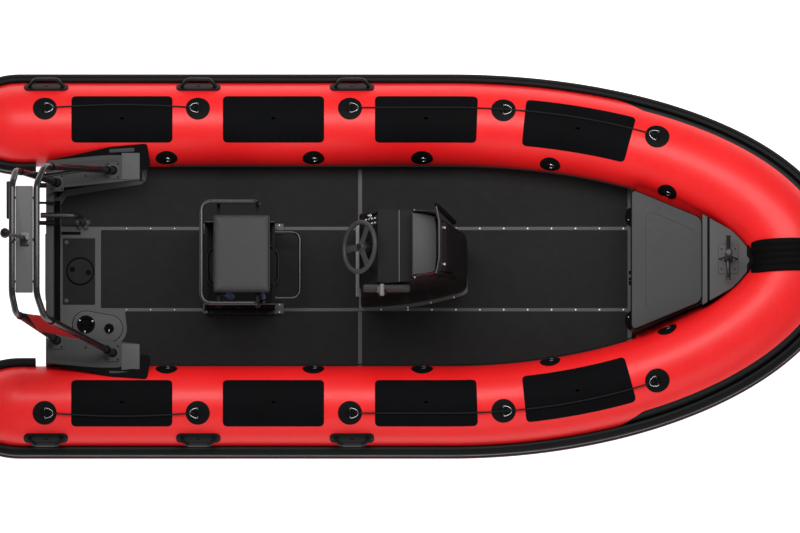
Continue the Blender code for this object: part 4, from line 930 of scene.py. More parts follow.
def stern_arch():
    """Two bent hoops with collars at their foot plates, joined by cross bars, leg braces
    and glossy web plates; each web is a quad between points on its two legs, leaned
    outwards at the foot and inwards at the head."""
    foot_z = BOX_TOP_Z + 0.009
    fore = [(-1.837, 0.590, foot_z), (-2.270, 0.487, 1.585), (-2.320, 0.352, ARCH_TOP_Z)]
    aft = [(-2.195, 0.510, foot_z), (-2.452, 0.460, 1.585), (-2.477, 0.352, ARCH_TOP_Z)]
    shells = [tube(bend(mirrored(fore), 0.12, 14), ARCH_TUBE_R, 28),
              tube(bend(mirrored(aft), 0.10, 14), ARCH_TUBE_R, 28)]
    for y in (-0.27, 0.0, 0.27):
        shells.append(rod((-2.477, y, 1.672), (-2.320, y, 1.672), 0.009, 16))
    plates, bolts, webs, knots = [], [], [], []
    for side in (-1, 1):
        flip = np.array([1, side, 1])
        shells.append(rod(np.array((-2.001, 0.551, 1.045)) * flip,
                          np.array((-2.326, 0.484, 1.150)) * flip, 0.014, 20))
        for z, knot in ((0.80, 0.0255), (1.50, 0.0245)):
            for leg in (fore, aft):
                a, b = (leg_point(*leg[:2], z + d) * flip for d in (-0.012, 0.012))
                knots.append(rod(a, b, knot, 28, 0.12))
        for x, y in ((-1.837, 0.590), (-2.195, 0.510)):
            plan = rectangle((x - 0.044, side * y - 0.055), (x + 0.044, side * y + 0.055), 0.010)
            plates.append(slab(plan, BOX_TOP_Z + GAP, BOX_TOP_Z + 0.009, 0.002))
            bolts += [screw_head((x + dx, side * y + dy, BOX_TOP_Z + 0.009), 0.007, height=0.005)
                      for dx in (-0.032, 0.032) for dy in (-0.042, 0.042)]
            knots.append(turned([(0.0, 0.006), (0.024, 0.006), (0.029, 0.0), (0.0, 0.0)],
                                axes((x, side * y, BOX_TOP_Z + 0.009), (0, 0, 1))))
        f_low, f_high = leg_point(*fore[:2], 1.13), leg_point(*fore[:2], 1.50)
        a_low, a_high = leg_point(*aft[:2], 1.13), leg_point(*aft[:2], 1.50)

        def web(rows, side=side):
            u, v, w = rows[..., :1], rows[..., 1:2], rows[..., 2:]
            low, high = f_low + (a_low - f_low) * u, f_high + (a_high - f_high) * u
            out = np.array([0.12, 0.985, 0.12])
            return (low + (high - low) * v + out * (w + 0.021 * (1 - 2 * v))) * [1, side, 1]
        webs.append(slab(rectangle((0.0, 0.0), (1.0, 1.0), 0.05), -0.002, 0.002, place=web))
    piece("arch_hoops", shells, RAIL_BLACK, stands_for=["arch_frame"])
    piece("arch_collars", knots, DULL_BLACK)
    piece("arch_webs", webs, GLOSS_BLACK)
    piece("arch_foot_plates", plates, DARK_PAINT)
    piece("arch_foot_bolts", bolts, BLACK_METAL)
    shelf = slab(rectangle((-2.4545, -0.345), (-2.3425, 0.345), 0.008), 1.6815, 1.6875, 0.0015,
                 0.0015)
    piece("arch_shelf_plate", [shelf], ARCH_GREY, stands_for=["arch_plate"])
    rivets = [screw_head((x, y, 1.6875), 0.0045) for x in (-2.445, -2.352)
              for y in (-0.325, -0.16, 0.16, 0.325)]
    piece("arch_shelf_rivets", rivets, ARCH_GREY)
    lamp_bar = block((-2.512, 0.135, 1.645), (-2.487, 0.375, 1.690), 0.006)
    feet = [block((-2.500, y - 0.008, 1.655), (-2.470, y + 0.008, 1.675), 0.003)
            for y in (0.18, 0.33)]
    piece("stern_lamp_housing", [lamp_bar] + feet, MOULDED_BLACK)


def light_mast():
    """Raked mast through a bend, a pleated lamp turned from a profile, and its
    bracket on the shelf."""
    foot = (-2.398, 0.0, 1.6879)
    head = np.array([-2.520, 0.0, 1.93])
    mast = tube(bend([foot, (-2.398, 0.0, 1.76), head], 0.05, 12), 0.011, 20)
    base = turned([(0.0, 0.010), (0.016, 0.010), (0.028, 0.006), (0.030, 0.0), (0.0, 0.0)],
                  axes(foot, (0, 0, 1)))
    bracket = block((-2.425, -0.045, 1.688), (-2.365, 0.045, 1.694), 0.002, 0.01)
    piece("mast_pole", [mast, base, bracket], RAIL_BLACK,
          stands_for=["light_mast"])
    below = turned([(0.0, 0.0), (0.022, 0.0), (0.030, 0.018), (0.031, 0.030), (0.0, 0.030)],
                   axes(head - [0, 0, 0.012], (0, 0, 1)))
    lens = turned([(0.0, 0.030), (0.026, 0.030), (0.027, 0.034), (0.0255, 0.040), (0.027, 0.046),
                   (0.0255, 0.052), (0.024, 0.058), (0.0, 0.058)], axes(head - [0, 0, 0.012],
                                                                        (0, 0, 1)))
    above = turned([(0.0, 0.058), (0.028, 0.058), (0.029, 0.064), (0.020, 0.078), (0.008, 0.084),
                    (0.0, 0.085)], axes(head - [0, 0, 0.012], (0, 0, 1)))
    piece("mast_lamp", [below, above], MOULDED_BLACK)
    piece("mast_lamp_lens", [lens], LENS_WHITE)


def conduit_and_sockets():
    """Engine conduit bent down into the deck, three tails over the transom's edge, and
    the ring of gland nuts round the conduit."""
    y = 0.297
    route = bend([(-2.30, y, 0.74), (-2.07, y, 0.73), (-2.035, y, 0.60), (-2.035, y, FLOOR_Z)],
                 0.08, 12)
    piece("conduit_hose", [tube(route, 0.0175, 28)], RAIL_BLACK,
          stands_for=["rigging_conduit"])
    tails = [rod((-2.305, y, 0.690), (-2.205, y, 0.684), r, 24)
             for y, r in ((0.255, 0.014), (0.385, 0.008), (0.498, 0.016))]
    piece("transom_tails", tails, SATIN_BLACK)
    nuts = []
    for a in np.radians([20, 92, 164, 236, 308]):
        spot = (-2.030 + 0.034 * math.cos(a), 0.292 + 0.030 * math.sin(a), DECK_TOP_Z + GAP)
        nuts.append(turned([(0.0, 0.011), (0.006, 0.011), (0.008, 0.006), (0.012, 0.014),
                            (0.0165, 0.010), (0.0175, 0.0), (0.0, 0.0)], axes(spot, (0, 0, 1)), 24))
    piece("deck_glands", nuts, ARCH_GREY)
    slot_box = block((-2.168, 0.222, DECK_TOP_Z + GAP), (-2.045, 0.240, DECK_TOP_Z + 0.006), 0.0015)
    piece("cable_slot", [slot_box], DULL_BLACK)


def hatch_and_fillers():
    """Fuel hatch lugs, the round inspection cap, the filler plate with its joint line,
    the filler with three bright screws, and the battery switch."""
    dress(DECK_FOAM, "fuel_hatch")
    low_z = DECK_TOP_Z + GAP
    lugs = [turned([(0.0, 0.003), (0.007, 0.003), (0.009, 0.006), (0.013, 0.005), (0.014, 0.0),
                    (0.0, 0.0)], axes((-2.136, y, low_z + 0.006), (0, 0, 1)), 24)
            for y in (0.172, -0.206)]
    piece("hatch_lugs", lugs, GREY_PAINT)
    r = 0.09
    place = axes((*CAP_CENTRE, low_z), (0, 0, 1))
    rim = turned([(r - 0.009, 0.004), (r - 0.007, 0.010), (r - 0.004, 0.0115), (r, 0.010),
                  (r, 0.0), (r - 0.009, 0.0), (r - 0.009, 0.004)], place, 56)
    dish = turned([(0.0, 0.0095), (r - 0.0095, 0.0095), (r - 0.0091, 0.009), (r - 0.0091, 0.0),
                   (0.0, 0.0)], place, 56)
    grips = [turned([(0.0, 0.0105), (0.009, 0.0100), (0.013, 0.0125), (0.0175, 0.0115),
                     (0.0180, 0.008), (0.0, 0.008)],
                    axes((CAP_CENTRE[0] + x, CAP_CENTRE[1] + y, low_z), (0, 0, 1)), 28)
             for x, y in ((-0.050, 0.012), (0.052, -0.008))]
    piece("inspection_cap_rim", [rim, *grips], DULL_BLACK, "hatch_cap",
          ["inspection_cap"])
    piece("inspection_cap_dish", [dish], DECK_FOAM, "hatch_cap")
    a, b = np.array(FILLER_CENTRE), np.array(SWITCH_CENTRE)
    lean = math.atan2(*(b - a)[::-1])
    turn = np.linspace(-np.pi / 2, np.pi / 2, 22) + lean
    ends = np.vstack([b + 0.086 * np.stack([np.cos(turn), np.sin(turn)], -1),
                      a - 0.086 * np.stack([np.cos(turn), np.sin(turn)], -1)])
    piece("filler_plate_body", [slab(ends, low_z, low_z + 0.005, 0.0015)], GREY_PAINT,
          stands_for=["filler_plate"])
    piece("filler_plate_joint", [slab(inset(ends, -0.0035), low_z, low_z + 0.0009)],
          DULL_BLACK)
    top = low_z + 0.005 + GAP
    place = axes((*FILLER_CENTRE, top), (0, 0, 1))
    flange = turned([(0.041, 0.0055), (0.046, 0.008), (0.055, 0.0065), (0.058, 0.003), (0.058, 0.0),
                     (0.041, 0.0), (0.041, 0.0055)], place, 44)
    piece("filler_flange", [flange], DULL_BLACK)
    core = turned([(0.0, 0.005), (0.029, 0.005), (0.033, 0.010), (0.038, 0.0115), (0.0402, 0.009),
                   (0.0402, 0.001), (0.0, 0.001)], place, 44)
    bar = block((-0.030, -0.006, 0.004), (0.030, 0.006, 0.0135), 0.0025, place=place)
    piece("filler_cap_body", [core, bar], DULL_BLACK, "fuel_cap",
          ["fuel_filler_cap"])
    heads = [screw_head((x, y, top + 0.0068), 0.0062)
             for x, y in ((-2.050, -0.334), (-1.969, -0.339), (-2.018, -0.4065))]
    piece("filler_screws", heads, SCREW)
    place = axes((*SWITCH_CENTRE, top), (0, 0, 1))
    a = np.linspace(0, 2 * np.pi, 60, endpoint=False)
    scallop = 0.0305 + 0.0014 * np.cos(a * 8)
    knob = slab(np.stack([scallop * np.cos(a), scallop * np.sin(a)], -1), 0.0, 0.012, 0.003,
                place=place)
    ridge = block((-0.0065, -0.029, 0.008), (0.0065, 0.029, 0.0295), 0.003, place=place)
    piece("isolator_knob", [knob, ridge], DULL_BLACK, "isolator",
          ["battery_switch"])
    mark = block((-0.0018, -0.028, 0.028), (0.0018, -0.010, 0.0303), 0.0008, place=place)
    piece("isolator_mark", [mark], WHITE_MARK, "isolator")
    dress(ALLOY, "stringer_port", "stringer_starboard")
    dress(TANK_PLASTIC, "fuel_tank")


# --------------------------------------------------------------------- seat

def helix(start, end, radius, turns, steps=22):
    """A coil about the line from start to end, its turns a little closer together towards
    each end."""
    start, end = np.array(start, float), np.array(end, float)
    t = np.linspace(0, 1, int(turns * steps))
    along = t - 0.05 * np.sin(2 * np.pi * t)
    place = axes(start, end - start)
    a = 2 * np.pi * turns * t
    length = np.linalg.norm(end - start)
    return place(np.stack([radius * np.cos(a), radius * np.sin(a), along * length], -1))


def seat_fixed_frame():
    """Fixed lower frame: the carried-over base with rolled flanges, tracks with bolts,
    corner clamps on the deck, and the dished pan under the seat."""
    dress(SATIN_BLACK, "seat_base", "seat_frame", "shock_body")
    dress(DARK_STEEL, "shock_rod")
    flanges, tracks, bolts, clamps, clamp_bolts = [], [], [], [], []
    for side in (-1, 1):
        edge = [(-1.247, side * 0.266, 0.668), (-0.803, side * 0.266, 0.668)]
        flanges.append(tube(np.array(edge), 0.0055, 16))
        low, high = sorted((side * 0.2685, side * 0.302))
        tracks.append(block((-1.235, low, PAD_TOP_Z + GAP), (-0.808, high, 0.452), 0.003))
        bolts += [screw_head((x, side * 0.285, 0.452), 0.0075, height=0.006)
                  for x in (-1.205, -1.102, -0.915, -0.832)]
        for x0, x1 in ((-1.262, -1.226), (-0.812, -0.744)):
            low, high = sorted((side * 0.224, side * 0.292))
            clamps.append(block((x0, low, PAD_TOP_Z + GAP), (x1, high, 0.418), 0.003, 0.008))
            low, high = sorted((side * 0.240, side * 0.268))
            clamps.append(block((x0 + 0.004, low, 0.412), (x0 + 0.020, high, 0.452), 0.003))
            middle_x = (x0 + x1) / 2 + 0.006
            clamp_bolts += [screw_head((middle_x, side * y, 0.418), 0.006, height=0.005)
                            for y in (0.232, 0.281)]
    piece("seat_base_flanges", flanges, RAIL_BLACK)
    piece("seat_tracks", tracks, MOULDED_BLACK)
    piece("seat_track_bolts", bolts, DARK_STEEL)
    piece("seat_clamps", clamps, GREY_PAINT)
    piece("seat_clamp_bolts", clamp_bolts, SCREW)
    pan = outline([(-1.24, -0.085), (-1.185, -0.14), (-0.825, -0.14), (-0.770, -0.085),
                   (-0.770, 0.10), (-0.825, 0.155), (-1.185, 0.155), (-1.24, 0.10)], 0.03, 5)
    rings = [(0.0, 0.4455), (0.0, 0.457), (0.003, 0.461), (0.011, 0.461), (0.014, 0.457),
             (0.020, 0.449), (0.028, 0.448)]
    rows = np.stack([np.column_stack([inset(pan, d), np.full(len(pan), z)]) for d, z in rings])
    piece("seat_pan", [grid(rows)], MOULDED_BLACK)


def seat_springs():
    """Four coil dampers between the base and the sprung frame; each is a coil round a
    slim body."""
    count = 0
    for side in (-1, 1):
        for start, end in (((-1.075, 0.218, 0.62), (-1.128, 0.218, 0.86)),
                           ((-0.878, 0.218, 0.62), (-0.886, 0.218, 0.86))):
            count += 1
            start, end = np.array(start) * [1, side, 1], np.array(end) * [1, side, 1]
            coil = piece(f"seat_coil_{count}", [tube_run(helix(start, end, 0.0175, 9), 0.0038)],
                         BLUE_COIL)
            core = piece(f"seat_damper_{count}", [rod(start, end, 0.0105, 20)], BLACK_METAL)
            for made in (coil, core):
                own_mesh(made)
            cups = [rod(end - [0, 0, 0.004], end + [0, 0, 0.006], 0.0215, 24, 0.1),
                    block(np.array((end[0] - 0.030, min(end[1], side * 0.242), 0.858)),
                          np.array((end[0] + 0.014, max(end[1], side * 0.242), 0.872)), 0.003)]
            piece(f"seat_coil_cup_{count}", cups, BLACK_METAL, "sprung_seat")
            foot = [rod(start - [0, 0, 0.006], start + [0, 0, 0.003], 0.0215, 24, 0.1),
                    block(np.array((start[0] - 0.014, min(start[1], side * 0.262), 0.602)),
                          np.array((start[0] + 0.014, max(start[1], side * 0.262), 0.615)), 0.003)]
            piece(f"seat_coil_foot_{count}", foot, BLACK_METAL)


def tube_run(path, radius, sides=10):
    """A round section carried along a coiled path, its side directions kept square to
    the path and to the path's own axis."""
    along = unit(np.gradient(path, axis=0))
    axis = unit(path[-1] - path[0])
    across = unit(np.cross(along, axis))
    return tube_on(path, across, np.cross(across, along), radius, sides)


def seat_rails():
    """Grab rail round the back of the seat and the footrest before it, in smooth
    bends, with sleeves where they meet the frame."""
    half = [(-0.910, 0.328, 1.0226), (-0.910, 0.328, RAIL_Z), (-1.270, 0.328, RAIL_Z)]
    sleeves = [rod((-0.910, s * 0.328, 1.0226), (-0.910, s * 0.328, 1.045), 0.0175, 24, 0.1)
               for s in (-1, 1)]
    piece("seat_grab_rail", [tube(bend(mirrored(half), 0.07, 14), 0.014, 28), *sleeves],
          RAIL_BLACK, "sprung_seat", ["seat_rail"])
    half = [(-0.7996, 0.213, 0.575), (-0.641, 0.213, 0.575)]
    collars = [rod((-0.7996, s * 0.213, 0.575), (-0.786, s * 0.213, 0.575), 0.0165, 24, 0.1)
               for s in (-1, 1)]
    piece("seat_footrest", [tube(bend(mirrored(half), 0.06, 14), 0.011, 24), *collars],
          RAIL_BLACK, stands_for=["footrest"])


def cushion():
    """Seat cushion: a rounded box whose cover is blown up by a short cloth run, capped
    at 7 mm, kept flat where it lies on its tray, and finished with a sewn welt."""
    low_z, high_z = SEAT_TRAY_TOP_Z + 0.0006, SEAT_TOP_Z - 0.004
    (x0, x1), half = SEAT_X, SEAT_HALF
    inner = 0.004
    plan = rectangle((x0 + inner, -half + inner), (x1 - inner, half - inner), 0.007, 4)
    points, faces = slab(dense(plan, 0.008), low_z, high_z, 0.010, 0.006, 5)
    made = piece("seat_cushion_pad", [(points, faces)], SEAT_VINYL, "sprung_seat",
                 ["seat_cushion"], crisp=80)
    bpy.context.view_layer.objects.active = made
    remesh = made.modifiers.new("even", "REMESH")
    remesh.mode = "VOXEL"
    remesh.voxel_size = 0.0055
    bpy.ops.object.modifier_apply(modifier=remesh.name)
    count = len(made.data.vertices)
    rest = np.empty(count * 3)
    made.data.vertices.foreach_get("co", rest)
    rest = rest.reshape(-1, 3)
    cloth = made.modifiers.new("cover", "CLOTH")
    cloth.settings.quality = 5
    cloth.settings.use_pressure = True
    cloth.settings.uniform_pressure_force = 4.0
    cloth.settings.effector_weights.gravity = 0.0
    cloth.point_cache.frame_start, cloth.point_cache.frame_end = 1, 16
    for step in range(1, 17):
        bpy.context.scene.frame_set(step)
    blown = made.evaluated_get(bpy.context.evaluated_depsgraph_get())
    moved = np.empty(count * 3)
    blown.data.vertices.foreach_get("co", moved)
    shift = moved.reshape(-1, 3) - rest
    made.modifiers.remove(cloth)
    bpy.context.scene.frame_set(1)
    far = np.linalg.norm(shift, axis=1, keepdims=True)
    shift *= np.minimum(1, 0.004 / np.maximum(far, 1e-9))
    u = (rest[:, 0] - (x0 + x1) / 2) / ((x1 - x0) / 2)
    v = rest[:, 1] / half
    crown = 0.0035 * (1 - np.clip(u, -1, 1) ** 4) * (1 - np.clip(v, -1, 1) ** 4)
    upper = np.clip((rest[:, 2] - low_z) / (high_z - low_z), 0, 1)
    end = rest + shift
    end[:, 2] += crown * upper
    end[:, 0] = np.clip(end[:, 0], x0 + 0.0004, x1 - 0.0004)
    end[:, 1] = np.clip(end[:, 1], -half + 0.0004, half - 0.0004)
    end[:, 2] = np.clip(end[:, 2], low_z, SEAT_TOP_Z + 0.003)
    waist = 1 - 0.006 * np.exp(-((rest[:, 2] - (high_z - 0.016)) / 0.0022) ** 2)
    middle = np.array([(x0 + x1) / 2, 0.0])
    end[:, :2] = middle + (end[:, :2] - middle) * waist[:, None]
    made.data.vertices.foreach_set("co", end.ravel())
    made.data.update()
    finer = made.modifiers.new("finer", "SUBSURF")
    finer.levels = finer.render_levels = 1
    bpy.ops.object.modifier_apply(modifier=finer.name)
    made.data.shade_smooth()
    welt_plan = rectangle((x0 + 0.0035, -half + 0.0035), (x1 - 0.0035, half - 0.0035), 0.016, 8)
    for word, z in (("top", high_z - 0.016), ("foot", low_z + 0.010)):
        ring = dense(welt_plan, 0.01)
        path = np.column_stack([ring, np.full(len(ring), z)])
        piece(f"seat_welt_{word}", [tube(path, 0.0028, 10, closed=True)], SEAT_WELT,
              "sprung_seat")
    board = slab(rectangle((x0 + 0.012, -half + 0.012), (x1 - 0.012, half - 0.012), 0.012),
                 SEAT_TRAY_TOP_Z - 0.003, SEAT_TRAY_TOP_Z + 0.0004, 0.001, 0.001)
    piece("seat_board", [board], BLACK_PLASTIC, "sprung_seat")


# ------------------------------------------------------------ console, helm

CONSOLE_LEVELS = ((-0.250, 0.430, 0.250, 0.150, 0.4038), (-0.250, 0.432, 0.240, 0.150, 0.80),
                  (-0.250, 0.425, 0.240, 0.150, 1.02), (-0.262, 0.372, 0.240, 0.158, 1.19),
                  (-0.135, 0.300, 0.240, 0.176, 1.365), (-0.128, 0.272, 0.236, 0.180, 1.40))


def console_plan(aft, fore, half_aft, half_fore):
    """Console plan: a flat back, sides whose half width follows a square law, and a
    nose with 45 mm corners."""
    share = np.linspace(0, 1, 7)
    port = list(zip(aft + (fore - 0.03 - aft) * share,
                    half_aft + (half_fore - half_aft) * share ** 2))
    port += [(fore - 0.004, half_fore - 0.022), (fore, half_fore - 0.060)]
    radii = [0.012] + [0.10] * 5 + [0.05, 0.05, 0.03]
    return outline(port + [(x, -y) for x, y in reversed(port)], radii + radii[::-1], 5)


def console_shell():
    """Console moulding: plans carried up through levels whose changes of slope are
    bends, a rounded top edge, a base flange with screws, and a trim bar astern."""
    levels = bend([np.array(level) for level in CONSOLE_LEVELS], 0.09, 6)
    rows = [np.column_stack([plan := console_plan(*level[:4]), np.full(len(plan), level[4])])
            for level in levels]
    top = rows.pop()
    for a in np.linspace(0.15, np.pi / 2, 5):
        d = 0.006 * (1 - math.cos(a))
        rows.append(np.column_stack([inset(top[:, :2], d),
                                     top[:, 2] - 0.006 * (1 - math.sin(a))]))
    piece("console_moulding", [grid(np.stack(rows))], MOULDED_BLACK,
          stands_for=["console"], crisp=50)
    foot = inset(console_plan(*CONSOLE_LEVELS[0][:4]), -0.022)
    foot[:, 0] = np.clip(foot[:, 0], -0.262, 0.432)
    # Painted light: the flange takes the lighter arch grey to lift it out of the shadow it lies in.
    piece("console_flange", [slab(foot, PAD_TOP_Z + GAP, 0.4070, 0.001)],
          ARCH_GREY)
    heads = [screw_head((x, s * y, 0.4070), 0.0058) for s in (-1, 1)
             for x, y in ((0.051, 0.2475), (0.198, 0.218), (0.3456, 0.184), (-0.12, 0.262))]
    piece("console_flange_screws", heads, SCREW)
    bar = slab(rectangle((-0.284, -0.236), (-0.2455, 0.236), 0.006), 0.762, 0.790, 0.005, 0.005)
    piece("console_trim_bar", [bar], BRIGHT_TRIM)
    aft_top = [(-0.143, 0.233), (-0.0145, 0.233), (-0.0145, -0.233), (-0.143, -0.233)]
    fore_top = [(0.0, 0.232), (0.073, 0.228), (0.073, -0.228), (0.0, -0.232)]
    tops = [slab(outline(plan, 0.008, 4), CONSOLE_TOP_Z - 0.006, CONSOLE_TOP_Z + 0.0022, 0.002,
                 0.002)
            for plan in (aft_top, fore_top)]
    piece("dash_top_panels", tops, DASH_GREY)
    seam = slab(rectangle((-0.0085, -0.231), (-0.0015, 0.231), 0.002), CONSOLE_TOP_Z - 0.001,
                CONSOLE_TOP_Z + 0.0030, 0.001)
    piece("dash_seam_strip", [seam], GREY_PAINT)


def dash_controls():
    """Two rows of toggles on a sloping plate to port of the helm, each a turned cap,
    and a hooded display above it."""
    along = unit(np.array([0.127, 0.0, 0.175]))
    square = np.array([-along[2], 0.0, along[0]])
    place = axes(np.array([-0.1805, 0.174, 1.3023]) + square * 0.002, square, along)
    plate = slab(rectangle((-0.072, -0.036), (0.072, 0.036), 0.008), -0.004, 0.004, 0.002,
                 place=place)
    piece("switch_plate", [plate], DASH_GREY)
    caps = [turned([(0.0, 0.014), (0.003, 0.0135), (0.0048, 0.010), (0.0056, 0.003), (0.0, 0.003)],
                   axes(place(np.array([x, y, 0.0])), square, along), 16)
            for x in (-0.048, -0.016, 0.016, 0.048) for y in (-0.016, 0.014)]
    piece("switch_toggles", caps, SCREW)
    hood = block((-0.066, 0.040, -0.003), (0.066, 0.056, 0.018), 0.003, place=place)
    piece("switch_hood", [hood], MOULDED_BLACK)


def shelf_and_screen():
    """Raised shelf with a soft edge, the smoked screen wrapped round it, its rail with
    stays to the nose, and the brackets' bright screws."""
    port = [(0.077, 0.201), (0.15, 0.195), (0.2215, 0.179), (0.233, 0.110)]
    plan = outline(port + [(x, -y) for x, y in reversed(port)],
                   [0.004, 0.10, 0.012, 0.06, 0.06, 0.012, 0.10, 0.004], 7)
    piece("console_shelf_moulding", [slab(plan, CONSOLE_TOP_Z + GAP, 1.4954, 0.006)], SHELF_GREY,
          stands_for=["console_shelf"])
    half = [(0.083, 0.213, 1.515), (0.165, 0.203, 1.575), (0.228, 0.189, 1.625),
            (0.242, 0.150, 1.645), (0.246, 0.075, 1.647)]
    top = bend(half + [(0.247, 0.0, 1.647)] + [(x, -y, z) for x, y, z in reversed(half)], 0.03, 8)
    low = top * [1, 1, 0] + [0, 0, CONSOLE_TOP_Z + 0.001]
    along = unit(np.gradient(top[:, :2], axis=0))
    out = np.column_stack([-along[:, 1], along[:, 0], 0 * along[:, 0]]) * 0.0019
    soft = np.array([0, 0, 0.0015])
    rings = np.stack([low + out, top + out - soft, top + out * 0.4, top - out * 0.4,
                      top - out - soft, low - out], 1)
    piece("windscreen_sheet", [grid(rings)], SMOKED,
          stands_for=["windscreen"], crisp=60)
    half = [(0.228, 0.235, 1.657), (0.250, 0.120, 1.657)]
    shells, stays = [tube(bend(mirrored(half), 0.05, 12), 0.007, 20)], []
    for s in (-1, 1):
        a, b = np.array((0.230, s * 0.228, 1.657)), np.array((0.344, s * 0.180, 1.225))
        axis = unit(b - a)
        stays += [rod(a, b, 0.0125, 24), rod(a + axis * 0.05, b - axis * 0.03, 0.0165, 24, 0.2),
                   rod(b - axis * 0.012, b + axis * 0.004, 0.0185, 6, 0.1),
                   rod(a - [0.0, s * 0.012, 0], a + [0.0, s * 0.012, 0], 0.0095, 20, 0.3)]
    piece("screen_rail", shells, RAIL_BLACK, stands_for=["windscreen_rail"])
    piece("screen_stays", stays, DULL_BLACK)
    screws = [screw_head((x, s * 0.2145, z), 0.0055, (0, s, 0.5), 0.004)
              for s in (-1, 1) for x, z in ((0.092, 1.505), (0.095, 1.475))]
    screws += [screw_head((0.284, s * 0.118, 1.3995), 0.0058, height=0.003) for s in (-1, 1)]
    piece("screen_screws", screws, SCREW)
    clips = [block((0.250, s * 0.118 - 0.011, 1.394), (0.294, s * 0.118 + 0.011, 1.3995), 0.002)
             for s in (-1, 1)]
    piece("screen_clips", clips, RAIL_BLACK)


def helm():
    """Helm housing turned about the helm axis, and a three-spoke wheel: a soft rim of
    constant section, tapering spokes with two raised edges, and a dished hub."""
    place = axes(WHEEL_CENTRE, HELM_AXIS, (0, -1, 0))
    boss = turned([(0.0, -0.035), (0.028, -0.0355), (0.034, -0.040), (0.036, -0.048),
                   (0.036, -0.0805), (0.0, -0.0805)], place, 40)
    ring = turned([(0.036, -0.078), (0.046, -0.076), (0.048, -0.082), (0.036, -0.083)], place, 40)
    piece("helm_housing", [boss, ring], BLACK_PLASTIC,
          stands_for=["helm_boss"])
    a = np.linspace(0, 2 * np.pi, 96, endpoint=False)
    path = np.stack([np.cos(a), np.sin(a), 0 * a], -1) * (WHEEL_R - 0.0045)
    rim = tube(place(path), 0.0150, 24, closed=True)
    hub = turned([(0.0, 0.0055), (0.022, 0.0050), (0.030, 0.002), (0.034, -0.004),
                  (0.034, -0.030), (0.026, -0.0345), (0.0, -0.0345)], place, 40)
    shells = [rim, hub]
    for degrees in (-90, 30, 150):
        turn = math.radians(degrees)
        spin = np.array([[math.cos(turn), math.sin(turn), 0], [-math.sin(turn), math.cos(turn), 0],
                         [0, 0, 1]])

        def carried(rows, spin=spin):
            return place(np.asarray(rows) @ spin)
        share = np.linspace(0, 1, 18)
        half = 0.027 - 0.006 * np.sin(np.pi * np.clip(share * 1.1, 0, 1))
        r = 0.020 + (WHEEL_R - 0.024) * share
        spoke = np.concatenate([np.stack([r, -half], -1), np.stack([r[::-1], half[::-1]], -1)])
        shells.append(slab(spoke, -0.0115, -0.0045, 0.0020, 0.0020, place=carried))
        for s in (-1, 1):
            line = np.column_stack([r[2:-1], s * (half[2:-1] - 0.0040), np.full(15, -0.0048)])
            shells.append(tube(carried(line), 0.0026, 10))
    piece("helm_wheel_moulding", shells, WHEEL_RUBBER, "helm_wheel",
          ["steering_wheel"])
    cap = turned([(0.0, 0.0075), (0.017, 0.0072), (0.0195, 0.0055), (0.0, 0.005)], place, 32)
    piece("helm_wheel_cap", [cap], DASH_GREY, "helm_wheel")


def throttle_and_key():
    """Control box on the console's starboard side, its lever with a cross grip, and
    the key in its lock."""
    x, y, z = THROTTLE_PIVOT
    box = block((x - 0.12, -0.2735, z - 0.09), (x + 0.18, -0.2425, z + 0.055), 0.007, 0.02)
    piece("control_box", [box], RECESS_GREY, stands_for=["throttle_box"])
    neutral = block((x - 0.031, -0.3000, z + 0.056), (x - 0.014, -0.2580, z + 0.072), 0.003)
    piece("control_button", [neutral], GREY_PAINT)
    pivot = turned([(0.0, 0.031), (0.018, 0.031), (0.025, 0.026), (0.026, 0.0), (0.0, 0.0)],
                   axes((x, y + 0.0255, z), (0, -1, 0)), 36)
    arm_plan = [(-0.012, -0.012), (0.012, -0.012), (0.009, 0.154), (-0.009, 0.154)]
    arm = slab(outline(arm_plan, 0.006, 4), -0.004, 0.006, 0.002, 0.002,
               place=lambda rows: np.stack([rows[..., 0] + x, rows[..., 2] + y,
                                            rows[..., 1] + z], -1))
    piece("control_lever", [pivot, arm], BLACK_METAL, "throttle",
          ["throttle_lever"])
    grip = turned([(0.0, 0.0), (0.011, 0.0), (0.0145, 0.004), (0.0150, 0.012), (0.0138, 0.037),
                   (0.0150, 0.063), (0.0145, 0.071), (0.011, 0.075), (0.0, 0.075)],
                  axes((x, y + 0.045, z + 0.150), (0, -1, 0)), 32)
    piece("control_grip", [grip], LEVER_GREY, "throttle")
    up = np.array([HELM_AXIS[2], 0.0, -HELM_AXIS[0]])
    spot = WHEEL_CENTRE + HELM_AXIS * -0.0795 + np.array([0, 0.205, 0]) + up * 0.02
    place = axes(spot, HELM_AXIS, (0, -1, 0))
    barrel = turned([(0.0, 0.012), (0.010, 0.012), (0.0128, 0.0095), (0.013, 0.0), (0.0, 0.0)],
                    place, 32)
    bow_plan = [(-0.011, 0.008), (0.011, 0.008), (0.0125, 0.024), (0.007, 0.034),
                (-0.007, 0.034), (-0.0125, 0.024)]
    bow = slab(outline(bow_plan, 0.006, 4), -0.0016, 0.0016, 0.0005, 0.0005,
               place=lambda rows: place(np.stack([rows[..., 2], rows[..., 0], rows[..., 1]], -1)))
    piece("ignition_key_blade", [barrel, bow], STEEL, "key", ["ignition_key"])


# ---------------------------------------------------------------------- bow

def lid_plan(radius, grow=0.0):
    """Rounded trapezium of the locker lid."""
    points = [(LID_X[0], 0.455), (LID_X[1], 0.267)]
    plan = outline([(x, -y) for x, y in points] + points[::-1], radius, 10)
    return inset(dense(plan), -grow)


def inner_edge(x):
    """Half width of the bow fittings: a straight line that narrows towards the nose."""
    after_x, after_half, narrowing = 1.975, 0.270, 0.565
    return after_half - narrowing * (np.asarray(x) - after_x)


